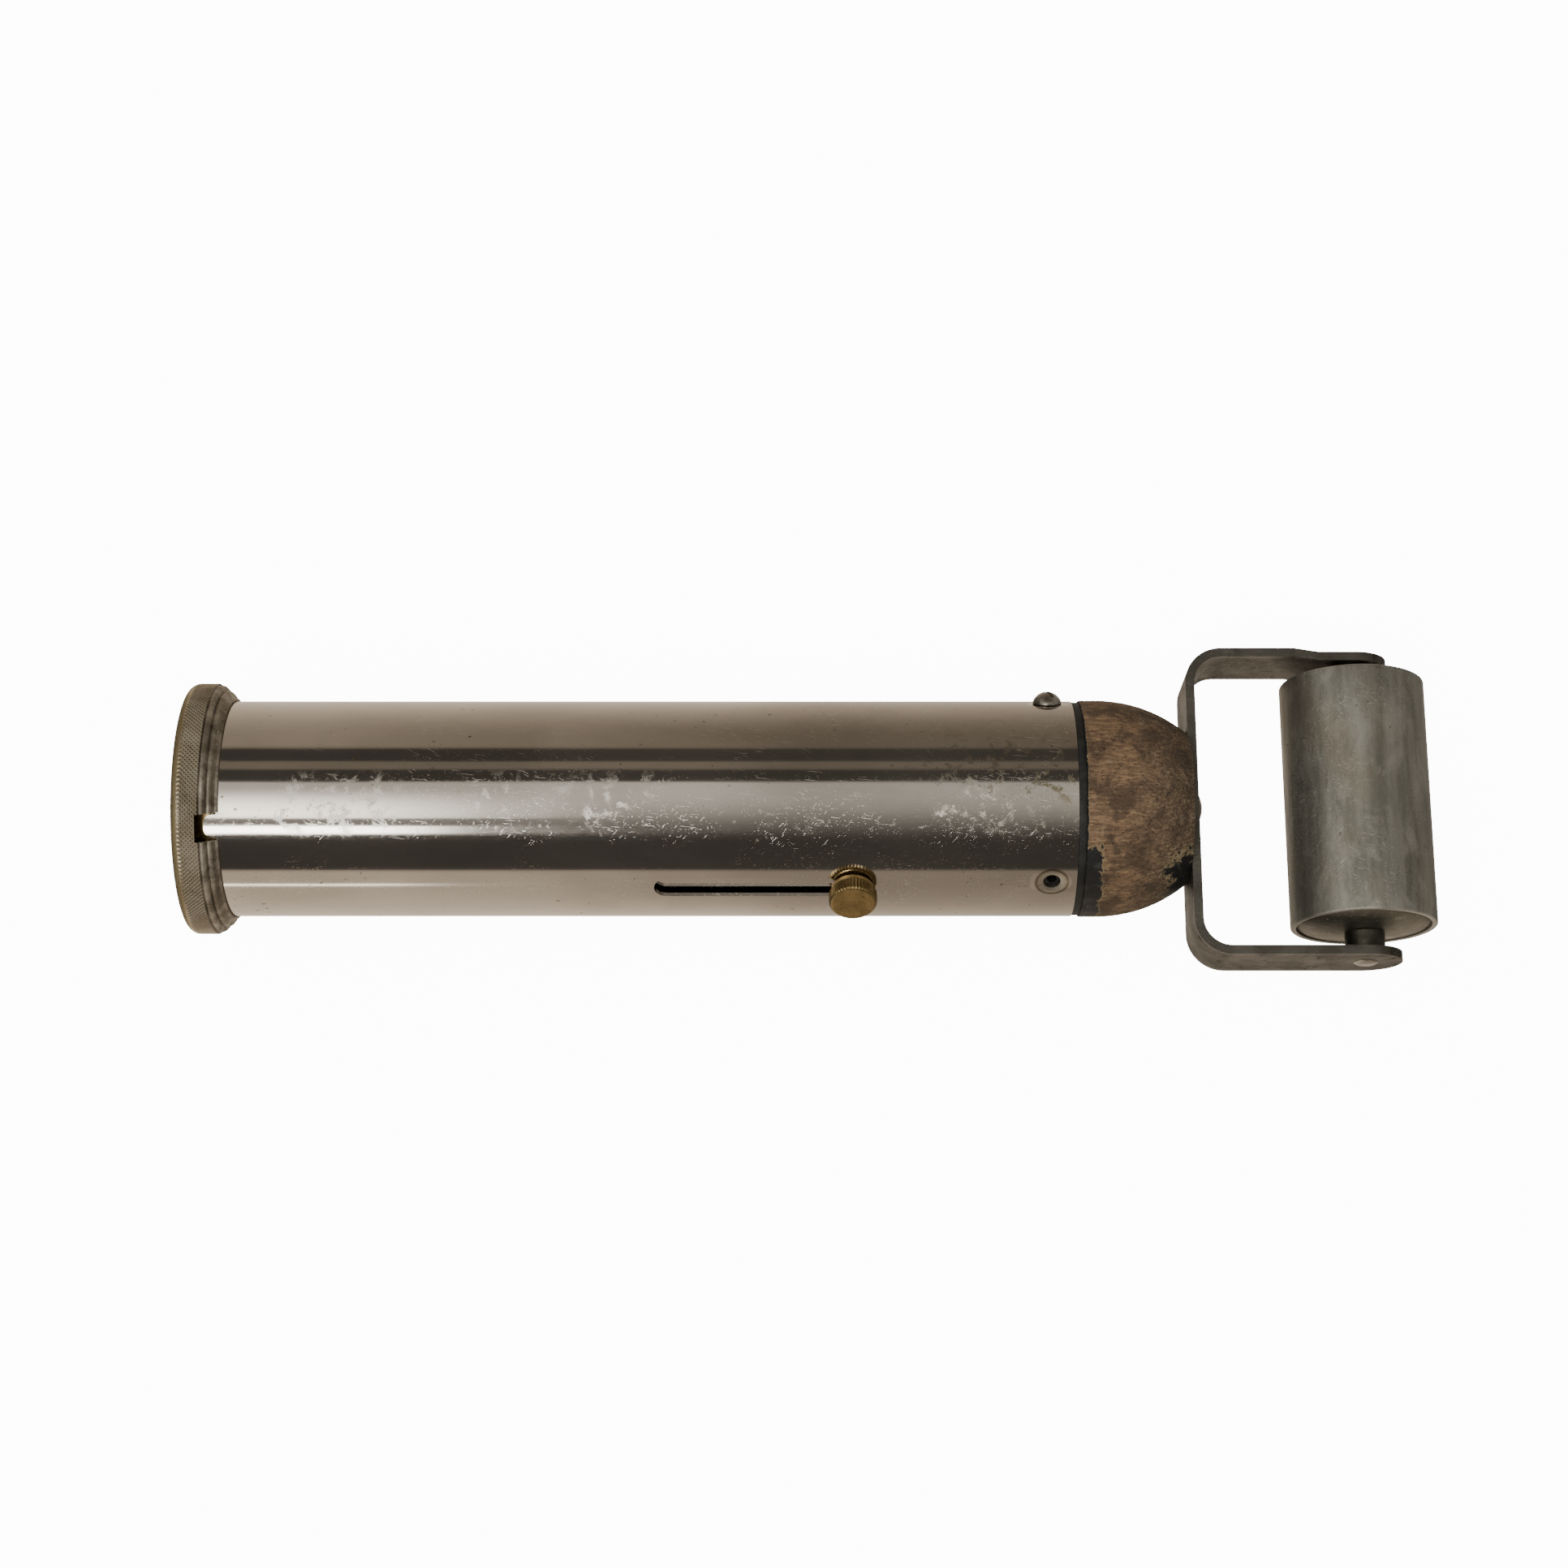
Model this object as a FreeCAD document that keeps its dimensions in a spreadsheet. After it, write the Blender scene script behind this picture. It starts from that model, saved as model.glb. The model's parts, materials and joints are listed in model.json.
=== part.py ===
import FreeCAD, Part
import math
import os
import re
import Sketcher

# Hand-held dry-cell massage roller. X runs along the tube from the cap's flat rear face to the
# roller, Z is up, and the origin is the centre of that rear face. Millimetres and degrees.

SIZES = {
    # dry cell, its liner and the tube round them
    "cell_setback": 5.6, "cell_radius": 17.1, "cell_length": 59.8, "jacket_wall": 0.45,
    "jacket_inset": 0.3, "seal_depth": 1.4, "nub_radius": 3.1, "nub_length": 1.7, "nub_flange": 1.0,
    "cell_gap": 0.5, "liner_wall": 0.6, "liner_gap": 0.05, "liner_end_gap": 0.6,
    "tube_wall": 0.8, "tube_rear": 7.4,
    "tongue_turn": 8.5, "tongue_width": 4.2, "tongue_length": 2.1, "tongue_round": 1.6,
    "slot_turn": 45.5, "slot_width": 4.5,
    "screw_setback": 4.3, "screw_hole_radius": 1.5, "screw_turn": 41.5,
    # cap
    "cap_overhang": 3.15, "cap_edge": 1.7, "cap_rim_width": 3.1, "cap_wall": 0.9, "cap_lip_gap": 0.1,
    "cap_lip_cover": 0.4, "cap_lip_wall": 0.5, "bead_step": 0.75, "notch_gap": 0.3, "notch_room": 1.0,
    "spigot_gap": 0.08, "spigot_wall": 0.6, "spigot_length": 10.0,
    "cap_contact_radius": 9.0, "cap_contact_wall": 0.8,
    "spring_wire": 0.5, "spring_radius": 7.6, "spring_taper": 18.0, "spring_pitch": 2.1,
    "spring_cell_gap": 0.1,
    # bulkhead and front contact
    "bulkhead_thickness": 2.6, "stud_head_radius": 3.5, "stud_head": 1.1, "stud_radius": 1.55,
    "stud_tail": 2.2, "stud_nut_height": 1.7, "stud_nut_flats": 5.0,
    # trembler
    "trembler_room": 34.9, "chassis_gap": 0.6, "chassis_thickness": 1.5, "chassis_drop": 4.8,
    "hammer_gap": 1.0, "hammer_radius": 3.6, "hammer_length": 3.0, "reed_thickness": 0.3,
    "reed_width": 6.0, "reed_top": 7.0, "reed_pivot": -5.45, "reed_split": 0.1,
    "contact_height": 5.0, "contact_pad": 0.5, "contact_pad_radius": 1.2, "contact_gap": 0.05,
    "bracket_thickness": 1.5, "bracket_foot": 5.5, "rivet_radius": 0.8, "rivet_head": 0.4,
    "rivet_spread": 3.2, "post_side": 5.0, "post_setback": 6.4, "post_margin": 3.0,
    "adjuster_radius": 1.25, "adjuster_tip_radius": 0.6, "adjuster_tip": 0.8,
    "adjuster_head_radius": 2.6, "adjuster_head": 3.0, "adjuster_reach": 3.0,
    "lock_nut_height": 1.6, "lock_nut_flats": 5.0,
    # induction coil
    "coil_length": 35.0, "cheek_thickness": 1.6, "rear_cheek_gap": 0.8, "front_cheek_gap": 0.35,
    "former_wall": 0.8, "core_gap": 0.22, "core_overhang": 2.9, "core_inset": 0.6,
    "core_wire": 0.78, "core_pitch": 1.6, "layer_gap": 0.05,
    "primary_depth": 2.4, "paper_wall": 0.3, "wrap_inset": 0.5, "wrap_wall": 0.45,
    # regulator
    "shield_gap": 1.25, "shield_wall": 0.8, "shield_length": 34.0, "shield_front_gap": 1.5,
    "shield_rear_gap": 0.7, "slider_setback": 5.7,
    "slider_end_gap": 0.05, "slider_side_gap": 0.15, "saddle_radius": 2.9, "saddle_height": 0.9,
    "slide_lift": 0.3, "slide_washer_radius": 3.7, "slide_washer": 0.7, "nut_gap": 0.05,
    "slider_stud_radius": 1.25, "slider_stud_head": 0.35, "slider_stud_head_radius": 2.2,
    "slider_stud_length": 1.9, "nut_radius": 4.15, "nut_height": 2.7, "nut_edge": 0.3,
    "running_gap": 0.05, "stud_end_gap": 0.15,
    "shutter_height": 0.5, "shutter_wall": 0.3, "shutter_angle": 28.0, "shutter_play": 1.5,
    "shutter_overlap": 1.5,
    # nose
    "ring_width": 1.4, "ring_inset": 0.2, "ring_gap": 0.05, "nose_proud": 0.11, "nose_plug_gap": 0.1,
    "nose_plug_length": 7.3, "nose_length": 19.2, "nose_straight": 3.2, "nose_curve": 25.0,
    "nose_recess_radius": 6.2, "nose_recess": 5.0, "pilot_radius": 0.9,
    "nose_screw_head": 2.5, "nose_screw_rim": 0.3, "nose_screw_rise": 1.7, "nose_screw_length": 7.0,
    "nose_screw_point": 1.2, "driver_slot": 0.7, "driver_depth": 0.8,
    # yoke
    "yoke_roll": 17.0, "yoke_width": 12.7, "yoke_thickness": 1.6, "yoke_end_room": 5.75,
    "yoke_corner": 6.5, "yoke_gap": 16.1, "joggle_depth": 0.7, "joggle_near": 11.0, "joggle_far": 6.6,
    "yoke_screw_radius": 1.65, "yoke_screw_play": 0.1, "yoke_screw_head": 3.0, "yoke_screw_rise": 1.3,
    "yoke_screw_rim": 0.3, "yoke_washer_radius": 4.5, "yoke_washer": 0.8, "yoke_nut_height": 2.4,
    "yoke_nut_flats": 5.6, "yoke_screw_tail": 0.9,
    # roller and axle
    "axle_radius": 1.6, "axle_head_radius": 3.15, "axle_head_rim": 0.3, "axle_head_rise": 1.2,
    "axle_end_radius": 2.2, "axle_end_rise": 0.5, "roller_radius": 12.8, "roller_length": 44.5,
    "roller_wall": 1.0, "roller_shift": 0.6, "disc_wall": 1.3, "disc_groove": 0.4, "disc_rise": 1.0,
    "bush_radius": 3.0, "bush_shoulder": 3.6, "bush_length": 6.0, "collar_radius": 3.5, "collar_gap": 0.2,
    # hook-up wires
    "lead_radius": 0.6, "lead_spread": 6.5,
}

doc = FreeCAD.newDocument("massage_roller")
sheet = doc.addObject("Spreadsheet::Sheet", "dims")
for row, (alias, number) in enumerate(SIZES.items(), start=1):
    sheet.set(f"A{row}", str(number))
    sheet.setAlias(f"A{row}", alias)
    sheet.set(f"B{row}", alias.replace("_", " "))
doc.recompute()

# Places and radii that follow from the sheet, as formulas in its names.
TUBE_BORE = "(cell_radius + cell_gap + liner_wall + liner_gap)"
TUBE_RADIUS = f"({TUBE_BORE} + tube_wall)"
CELL_REAR = "(tube_rear + cell_setback)"
CELL_TOP = f"({CELL_REAR} + cell_length)"
NUB_TIP = f"({CELL_TOP} + nub_length)"
CAN_RADIUS = "(cell_radius - jacket_wall)"
BULKHEAD_REAR = f"({NUB_TIP} + stud_head)"
BULKHEAD_FRONT = f"({BULKHEAD_REAR} + bulkhead_thickness)"
COIL_REAR = f"({BULKHEAD_FRONT} + trembler_room)"
COIL_FRONT = f"({COIL_REAR} + coil_length)"
TUBE_FRONT = f"({COIL_FRONT} + nose_plug_length)"
CAP_RADIUS = f"({TUBE_RADIUS} + cap_overhang)"
SCREW_X = f"({TUBE_FRONT} - screw_setback)"
CAP_RIM_FRONT = "(cap_edge + cap_rim_width)"
CAP_FRONT = "(tube_rear + cap_lip_cover)"
SPIGOT_RADIUS = f"({TUBE_BORE} - spigot_gap)"
SPIGOT_FRONT = "(tube_rear + spigot_length)"
CONTACT_FRONT = "(cap_wall + cap_contact_wall)"
CORE_REAR = f"({COIL_REAR} - core_overhang)"
HAMMER_REAR = f"({CORE_REAR} - hammer_gap - hammer_length)"
REED_REAR = f"({HAMMER_REAR} - reed_thickness)"
PAD_REAR = f"({REED_REAR} - contact_pad)"
TIP_FRONT = f"({PAD_REAR} - contact_gap)"
POST_FRONT = f"({REED_REAR} - post_setback)"
POST_REAR = f"({POST_FRONT} - post_side)"
SHIELD_RADIUS = f"({TUBE_BORE} - shield_gap)"
SHIELD_BORE = f"({SHIELD_RADIUS} - shield_wall)"
SHIELD_REAR = f"({COIL_FRONT} - cheek_thickness - shield_front_gap - shield_length)"
SLIDER_X = f"({SHIELD_REAR} + slider_setback)"
SHUTTER_TOP = f"({SHIELD_RADIUS} + shutter_height)"
SHUTTER_BORE = f"({SHUTTER_TOP} - shutter_wall)"
SLOT_END = "(slot_width / 2 + slider_end_gap)"
SLOT_REAR = f"({BULKHEAD_FRONT} + shield_rear_gap + slider_setback - {SLOT_END})"
SLOT_FRONT = f"({SLIDER_X} + {SLOT_END})"
CHASSIS_TOP = f"(chassis_drop - {SHIELD_BORE})"
GUIDE_TOP = f"({TUBE_RADIUS} + slide_lift)"
FORMER_BORE = "(2 * core_pitch + core_wire + core_gap)"
FORMER_RADIUS = f"({FORMER_BORE} + former_wall)"
PRIMARY_RADIUS = f"({FORMER_RADIUS} + primary_depth)"
CHEEK_RADIUS = f"({SHIELD_BORE} - rear_cheek_gap)"
SECONDARY_RADIUS = f"({CHEEK_RADIUS} - wrap_inset - wrap_wall)"
NOSE_RADIUS = f"({TUBE_RADIUS} + nose_proud)"
YOKE_HOLE = "(yoke_screw_radius + yoke_screw_play)"
NUT_SEAT = f"({GUIDE_TOP} + slide_washer + nut_gap)"
STUD_TOP = f"({NUT_SEAT} + slider_stud_length)"
SHOULDER = f"({TUBE_FRONT} + ring_width)"
NOSE_FRONT = f"({SHOULDER} + nose_length)"
RECESS_FLOOR = f"({COIL_FRONT} + nose_recess)"
PLUG_RADIUS = f"({TUBE_BORE} - nose_plug_gap)"
NUT_FRONT = f"({RECESS_FLOOR} - yoke_washer)"
YOKE_FRONT = f"({NOSE_FRONT} + yoke_thickness)"
AXLE_X = f"({YOKE_FRONT} + yoke_gap + roller_radius)"
YOKE_HALF = "(roller_length / 2 + yoke_end_room)"
HEAD_ARM = f"({YOKE_HALF} - joggle_depth)"
ROLLER_BORE = "(roller_radius - roller_wall)"


def bound(formula):
    """The formula with the sheet's name before each of its aliases."""
    return re.sub(r"[a-z_]+", lambda word: ("dims." if word[0] in SIZES else "") + word[0], str(formula))


def value(formula):
    return float(sheet.evalExpression(bound(formula)))


def outline(body, corners, role="XY_Plane", turn="0"):
    """A closed sketch. A corner is (u, v), or (u, v, side, radius) where the edge that leaves it
    is an arc: side +1 bends left, -1 right. turn tips the sketch's plane about the X axis."""
    sketch = body.newObject("Sketcher::SketchObject", "outline")
    plane = next(item for item in body.Origin.OriginFeatures if item.Role == role)
    sketch.AttachmentSupport = [(plane, "")]
    sketch.MapMode = "FlatFace"
    sketch.AttachmentOffset = FreeCAD.Placement(
        FreeCAD.Vector(), FreeCAD.Rotation(FreeCAD.Vector(1, 0, 0), value(turn) or 1e-9))
    if value(turn):
        sketch.setExpression("AttachmentOffset.Rotation.Angle", bound(turn))
    else:
        sketch.AttachmentOffset = FreeCAD.Placement()
    points = [FreeCAD.Vector(value(corner[0]), value(corner[1]), 0) for corner in corners]
    edges, ends = [], []
    for index, corner in enumerate(corners):
        start, stop = points[index], points[(index + 1) % len(points)]
        if len(corner) == 2:
            edges.append(Part.LineSegment(start, stop))
            ends.append((1, 2))
            continue
        side, radius = corner[2], value(corner[3])
        half = (stop - start) / 2
        across = FreeCAD.Vector(-half.y, half.x, 0).normalize()
        centre = start + half + across * side * math.sqrt(max(radius ** 2 - half.Length ** 2, 0))
        angles = [math.atan2(point.y - centre.y, point.x - centre.x) for point in (start, stop)]
        circle = Part.Circle(centre, FreeCAD.Vector(0, 0, 1), radius)
        edges.append(Part.ArcOfCircle(circle, *(angles if side > 0 else reversed(angles))))
        ends.append((1, 2) if side > 0 else (2, 1))
    sketch.addGeometry(edges, False)
    for index, (corner, point) in enumerate(zip(corners, points)):
        follower = (index + 1) % len(points)
        sketch.addConstraint(
            Sketcher.Constraint("Coincident", index, ends[index][1], follower, ends[follower][0]))
    for index, (corner, point) in enumerate(zip(corners, points)):
        for kind, number, formula in (("DistanceX", point.x, corner[0]), ("DistanceY", point.y, corner[1])):
            rule = sketch.addConstraint(Sketcher.Constraint(kind, -1, 1, index, ends[index][0], number))
            sketch.setExpression(f"Constraints[{rule}]", bound(formula))
        if len(corner) == 4:
            rule = sketch.addConstraint(Sketcher.Constraint("Radius", index, value(corner[3])))
            sketch.setExpression(f"Constraints[{rule}]", bound(corner[3]))
    return sketch


def circle_outline(body, u, v, radius, role="XY_Plane", turn="0"):
    """A circle as four quarter arcs, so that it takes the same bindings as any outline."""
    return outline(body, [(f"{u} + {radius}", v, 1, radius), (u, f"{v} + {radius}", 1, radius),
                          (f"{u} - {radius}", v, 1, radius), (u, f"{v} - {radius}", 1, radius)], role, turn)


def slot_outline(body, start, stop, half, turn):
    """A round-ended slot along X from start to stop."""
    return outline(body, [
        (f"{start} + {half}", f"-{half}"), (f"{stop} - {half}", f"-{half}", 1, half), (stop, "0", 1, half),
        (f"{stop} - {half}", half), (f"{start} + {half}", half, 1, half), (start, "0", 1, half)],
        "XY_Plane", turn)


def rectangle(u_low, v_low, u_high, v_high):
    return [(u_low, v_low), (u_high, v_low), (u_high, v_high), (u_low, v_high)]


def new_body(label):
    body = doc.addObject("PartDesign::Body", label)
    body.Label = label
    return body


def turned(label, corners, axis="X"):
    """A body of revolution. Corners are (place along the axis, radius)."""
    body = new_body(label)
    if axis == "X":
        sketch = outline(body, corners)
    else:
        swapped = [(c[1], c[0]) if len(c) == 2 else (c[1], c[0], -c[2], c[3]) for c in corners]
        sketch = outline(body, swapped, "XZ_Plane" if axis == "Z" else "XY_Plane")
    spin = body.newObject("PartDesign::Revolution", "spin")
    spin.Profile = sketch
    spin.ReferenceAxis = (sketch, ["H_Axis" if axis == "X" else "V_Axis"])
    spin.Angle = 360
    return body


def tube(label, start, stop, bore, radius, axis="X"):
    return turned(label, rectangle(start, bore, stop, radius), axis)


def extruded(label, corners, role, length):
    """A plate or bar, centred on its sketch's plane."""
    body = new_body(label)
    pad = body.newObject("PartDesign::Pad", "pad")
    pad.Profile = outline(body, corners, role)
    pad.SideType = "Symmetric"
    pad.setExpression("Length", bound(length))
    return body


def pierce(body, sketch, both_ways=True):
    """A cut through everything, to both sides of the sketch or only along its normal."""
    pocket = body.newObject("PartDesign::Pocket", "cut")
    pocket.Profile = sketch
    if both_ways:
        pocket.SideType = "Symmetric"
    else:
        pocket.Reversed = True
    pocket.Type = "ThroughAll"
    return pocket


def place(body, along="0", turn="0", up="0"):
    """Move a body along X and up Z, and turn it about the X axis."""
    body.Placement = FreeCAD.Placement(FreeCAD.Vector(value(along), 0, value(up)),
                                       FreeCAD.Rotation(FreeCAD.Vector(1, 0, 0), value(turn)))
    body.setExpression("Placement.Base.x", bound(along))
    body.setExpression("Placement.Base.z", bound(up))
    if value(turn):
        body.setExpression("Placement.Rotation.Angle", bound(turn))
    return body


def grouped(label, pieces):
    group = doc.addObject("Part::Compound", label)
    group.Label = label
    group.Links = pieces
    return group


def hexagon(label, start, length, flats, bore, up="0"):
    """A hexagonal nut on the X axis."""
    body = new_body(label)
    corner = f"({flats} / sqrt(3))"
    points = [(f"{corner} * cos({60 * step})", f"{corner} * sin({60 * step})") for step in range(6)]
    pad = body.newObject("PartDesign::Pad", "pad")
    pad.Profile = outline(body, points, "YZ_Plane")
    pad.setExpression("Length", bound(length))
    pierce(body, circle_outline(body, "0", "0", bore, "YZ_Plane"))
    return place(body, start, "0", up)


def case_tube():
    body = tube("case_tube", "tube_rear", TUBE_FRONT, TUBE_BORE, TUBE_RADIUS)
    tongue = body.newObject("PartDesign::Revolution", "tongue")
    sketch = outline(body, rectangle("tube_rear - tongue_length", TUBE_BORE, "tube_rear", TUBE_RADIUS),
                     turn="90 + tongue_turn")
    tongue.Profile = sketch
    tongue.ReferenceAxis = (sketch, ["H_Axis"])
    tongue.Midplane = True
    tongue.setExpression("Angle", bound(f"tongue_width / {TUBE_RADIUS} * 180 / pi"))
    doc.recompute()
    tip, wall = value("tube_rear - tongue_length"), value("tube_wall")
    corners = [f"Edge{number}" for number, edge in enumerate(tongue.Shape.Edges, start=1)
               if abs(edge.BoundBox.XMax - tip) < 1e-6 and abs(edge.Length - wall) < 1e-6]
    rounding = body.newObject("PartDesign::Fillet", "tongue_round")
    rounding.Base = (tongue, corners)
    rounding.setExpression("Radius", bound("tongue_round"))
    pierce(body, slot_outline(body, SLOT_REAR, SLOT_FRONT, "(slot_width / 2)",
                              "slot_turn"), False)
    for third in (-120, 0, 120):
        pierce(body, circle_outline(body, SCREW_X, "0", "screw_hole_radius",
                                    turn=f"screw_turn + {third}"), False)
    return body


def cap_shell():
    """Pressed cap: flat back, straight rim, and a sloping front with two beads down to the lip."""
    lip_bore = f"({TUBE_RADIUS} + cap_lip_gap)"
    lip_radius = f"({lip_bore} + cap_lip_wall)"
    slope = f"(({CAP_RADIUS} - {lip_radius}) / 2)"
    run = f"(({CAP_FRONT} - {CAP_RIM_FRONT}) / 2)"
    body = turned("cap_shell", [
        ("0", "0"), ("0", f"{CAP_RADIUS} - cap_edge", -1, "cap_edge"), ("cap_edge", CAP_RADIUS),
        (CAP_RIM_FRONT, CAP_RADIUS),
        (f"{CAP_RIM_FRONT} + {run} - bead_step", f"{CAP_RADIUS} - {slope} + bead_step * 0.2"),
        (f"{CAP_RIM_FRONT} + {run}", f"{CAP_RADIUS} - {slope} + bead_step * 0.2"),
        (f"{CAP_FRONT} - bead_step", f"{lip_radius} + bead_step * 0.3"), (CAP_FRONT, lip_radius),
        (CAP_FRONT, lip_bore), ("tube_rear - 0.1", lip_bore),
        (f"{CAP_RIM_FRONT} - cap_wall / 2", f"{CAP_RADIUS} - cap_wall"),
        ("cap_edge", f"{CAP_RADIUS} - cap_wall"),
        ("cap_wall", f"{CAP_RADIUS} - cap_edge"), ("cap_wall", "0")])
    half = "(tongue_width / 2 + notch_gap)"
    pierce(body, outline(body, rectangle("tube_rear - tongue_length - notch_room", f"-{half}",
                                         f"{CAP_FRONT} + 1", half), turn="tongue_turn"), False)
    return body


def cap_spring():
    """Cone spring from the cap's contact plate to the cell's flat rear end."""
    body = new_body("cap_spring")
    wind = body.newObject("PartDesign::AdditiveHelix", "wind")
    start = f"({CONTACT_FRONT} + spring_wire)"
    sketch = circle_outline(body, start, "spring_radius", "spring_wire")
    wind.Profile = sketch
    wind.ReferenceAxis = (sketch, ["H_Axis"])
    wind.Mode = "pitch-height-angle"
    wind.setExpression("Pitch", bound("spring_pitch"))
    wind.setExpression("Height", bound(f"{CELL_REAR} - spring_cell_gap - spring_wire - {start}"))
    wind.setExpression("Angle", bound("-spring_taper"))
    return body


def end_cap():
    """The cap that pulls off the tube's rear end, with its plug sleeve, contact plate and spring."""
    return [
        cap_shell(),
        tube("cap_spigot", "cap_wall", SPIGOT_FRONT, f"{SPIGOT_RADIUS} - spigot_wall", SPIGOT_RADIUS),
        turned("cap_contact", rectangle("cap_wall", "0", CONTACT_FRONT, "cap_contact_radius")),
        cap_spring()]


def dry_cell():
    """One round cell and the card liner that keeps it central."""
    flange = "(nub_radius + nub_flange)"
    seal = f"({CELL_TOP} - seal_depth)"
    return [
        turned("battery_can", rectangle(CELL_REAR, "0", seal, CAN_RADIUS)),
        tube("battery_jacket", f"{CELL_REAR} + jacket_inset", CELL_TOP, CAN_RADIUS, "cell_radius"),
        tube("battery_seal", seal, CELL_TOP, flange, CAN_RADIUS),
        turned("battery_terminal", [(seal, "0"), (seal, flange), (CELL_TOP, flange),
                                    (CELL_TOP, "nub_radius"), (NUB_TIP, "nub_radius"), (NUB_TIP, "0")]),
        tube("case_liner", f"{SPIGOT_FRONT} + liner_end_gap", BULKHEAD_REAR,
             f"{TUBE_BORE} - liner_gap - liner_wall", f"{TUBE_BORE} - liner_gap")]


def bulkhead():
    """Insulating disc between the cell and the trembler, with the stud that touches the cell. The
    slot's shutter passes through a notch in the disc's edge."""
    disc = tube("bulkhead_disc", BULKHEAD_REAR, BULKHEAD_FRONT, "stud_radius", f"{TUBE_BORE} - liner_gap")
    notch = disc.newObject("PartDesign::Groove", "notch")
    notch.Profile = outline(disc, rectangle(f"{BULKHEAD_REAR} - running_gap", f"{SHUTTER_BORE} - 2 * running_gap",
                                            f"{BULKHEAD_FRONT} + running_gap", TUBE_BORE))
    notch.ReferenceAxis = (notch.Profile[0], ["H_Axis"])
    notch.Midplane = True
    notch.setExpression("Angle", bound("shutter_angle + 2 * shutter_play"))
    return [
        place(disc, "0", "90 + slot_turn"),
        turned("battery_stud", [
            (NUB_TIP, "0"), (NUB_TIP, "stud_head_radius"), (BULKHEAD_REAR, "stud_head_radius"),
            (BULKHEAD_REAR, "stud_radius"), (f"{BULKHEAD_FRONT} + stud_tail", "stud_radius"),
            (f"{BULKHEAD_FRONT} + stud_tail", "0")]),
        hexagon("stud_nut", BULKHEAD_FRONT, "stud_nut_height", "stud_nut_flats", "stud_radius")]


def trembler_base():
    """Chassis plate with the reed's bracket and the contact's post; these don't move."""
    plate_under = f"({CHASSIS_TOP} - chassis_thickness)"
    reach = f"({SHIELD_BORE} - chassis_gap)"
    plate_width = f"2 * sqrt({reach} * {reach} - {plate_under} * {plate_under})"
    pivot_low = "(reed_pivot - reed_split / 2)"
    bracket = extruded("reed_bracket", [
        (f"{REED_REAR} - bracket_foot", CHASSIS_TOP), (REED_REAR, CHASSIS_TOP), (REED_REAR, pivot_low),
        (f"{REED_REAR} - bracket_thickness", pivot_low),
        (f"{REED_REAR} - bracket_thickness", f"{CHASSIS_TOP} + bracket_thickness"),
        (f"{REED_REAR} - bracket_foot", f"{CHASSIS_TOP} + bracket_thickness")], "XZ_Plane", "reed_width")
    foot = extruded("reed_foot", rectangle(REED_REAR, CHASSIS_TOP, HAMMER_REAR, pivot_low),
                    "XZ_Plane", "reed_width")
    rivets = []
    for side, way in (("a", "-"), ("b", "+")):
        rivet = turned(f"rivet_{side}", rectangle("0", "0", "rivet_head", "rivet_radius"))
        rivet = place(rivet, HAMMER_REAR, "0", f"({pivot_low} + {CHASSIS_TOP}) / 2")
        rivet.setExpression("Placement.Base.y", bound(f"{way}rivet_spread / 2"))
        rivets.append(rivet)
    post = extruded("contact_post", rectangle(POST_REAR, CHASSIS_TOP, POST_FRONT,
                                              "contact_height + post_margin"), "XZ_Plane", "post_side")
    pierce(post, circle_outline(post, "0", "contact_height", "adjuster_radius", "YZ_Plane"))
    head_front = f"({POST_REAR} - adjuster_reach)"
    adjuster = turned("contact_screw", [
        (f"{head_front} - adjuster_head", "0"), (f"{head_front} - adjuster_head", "adjuster_head_radius"),
        (head_front, "adjuster_head_radius"), (head_front, "adjuster_radius"),
        (f"{TIP_FRONT} - adjuster_tip", "adjuster_radius"),
        (f"{TIP_FRONT} - adjuster_tip", "adjuster_tip_radius"), (TIP_FRONT, "adjuster_tip_radius"),
        (TIP_FRONT, "0")])
    return [
        extruded("chassis_plate", rectangle(BULKHEAD_FRONT, plate_under, COIL_REAR, CHASSIS_TOP),
                 "XZ_Plane", plate_width),
        bracket, foot, grouped("reed_rivets", rivets), post, place(adjuster, "0", "0", "contact_height"),
        hexagon("contact_lock_nut", f"{POST_REAR} - lock_nut_height", "lock_nut_height",
                "lock_nut_flats", "adjuster_radius", "contact_height")]


def armature():
    """The reed that the core pulls, with its iron hammer and its contact."""
    pad = turned("reed_contact", rectangle(PAD_REAR, "0", REED_REAR, "contact_pad_radius"))
    return [
        extruded("armature_reed", rectangle(REED_REAR, "reed_pivot + reed_split / 2", HAMMER_REAR,
                                            "reed_top"), "XZ_Plane", "reed_width"),
        turned("armature_hammer", rectangle(HAMMER_REAR, "0", f"{HAMMER_REAR} + hammer_length",
                                            "hammer_radius")),
        place(pad, "0", "0", "contact_height")]


def iron_core():
    """A bundle of soft iron wires, packed in rings about the middle one."""
    wires = []
    for i in range(-2, 3):
        for j in range(-2, 3):
            if abs(i + j) > 2:
                continue
            wire = doc.addObject("Part::Cylinder", "core_wire")
            wire.setExpression("Radius", bound("core_wire"))
            wire.setExpression("Height", bound(f"{COIL_FRONT} - core_inset - {CORE_REAR}"))
            wire.Placement = FreeCAD.Placement(
                FreeCAD.Vector(), FreeCAD.Rotation(FreeCAD.Vector(0, 1, 0), 90))
            wire.setExpression("Placement.Base.x", bound(CORE_REAR))
            wire.setExpression("Placement.Base.y", bound(f"core_pitch * {i + j / 2}"))
            wire.setExpression("Placement.Base.z", bound(f"core_pitch * {j} * sqrt(3) / 2"))
            wires.append(wire)
    return grouped("iron_core", wires)


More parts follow.
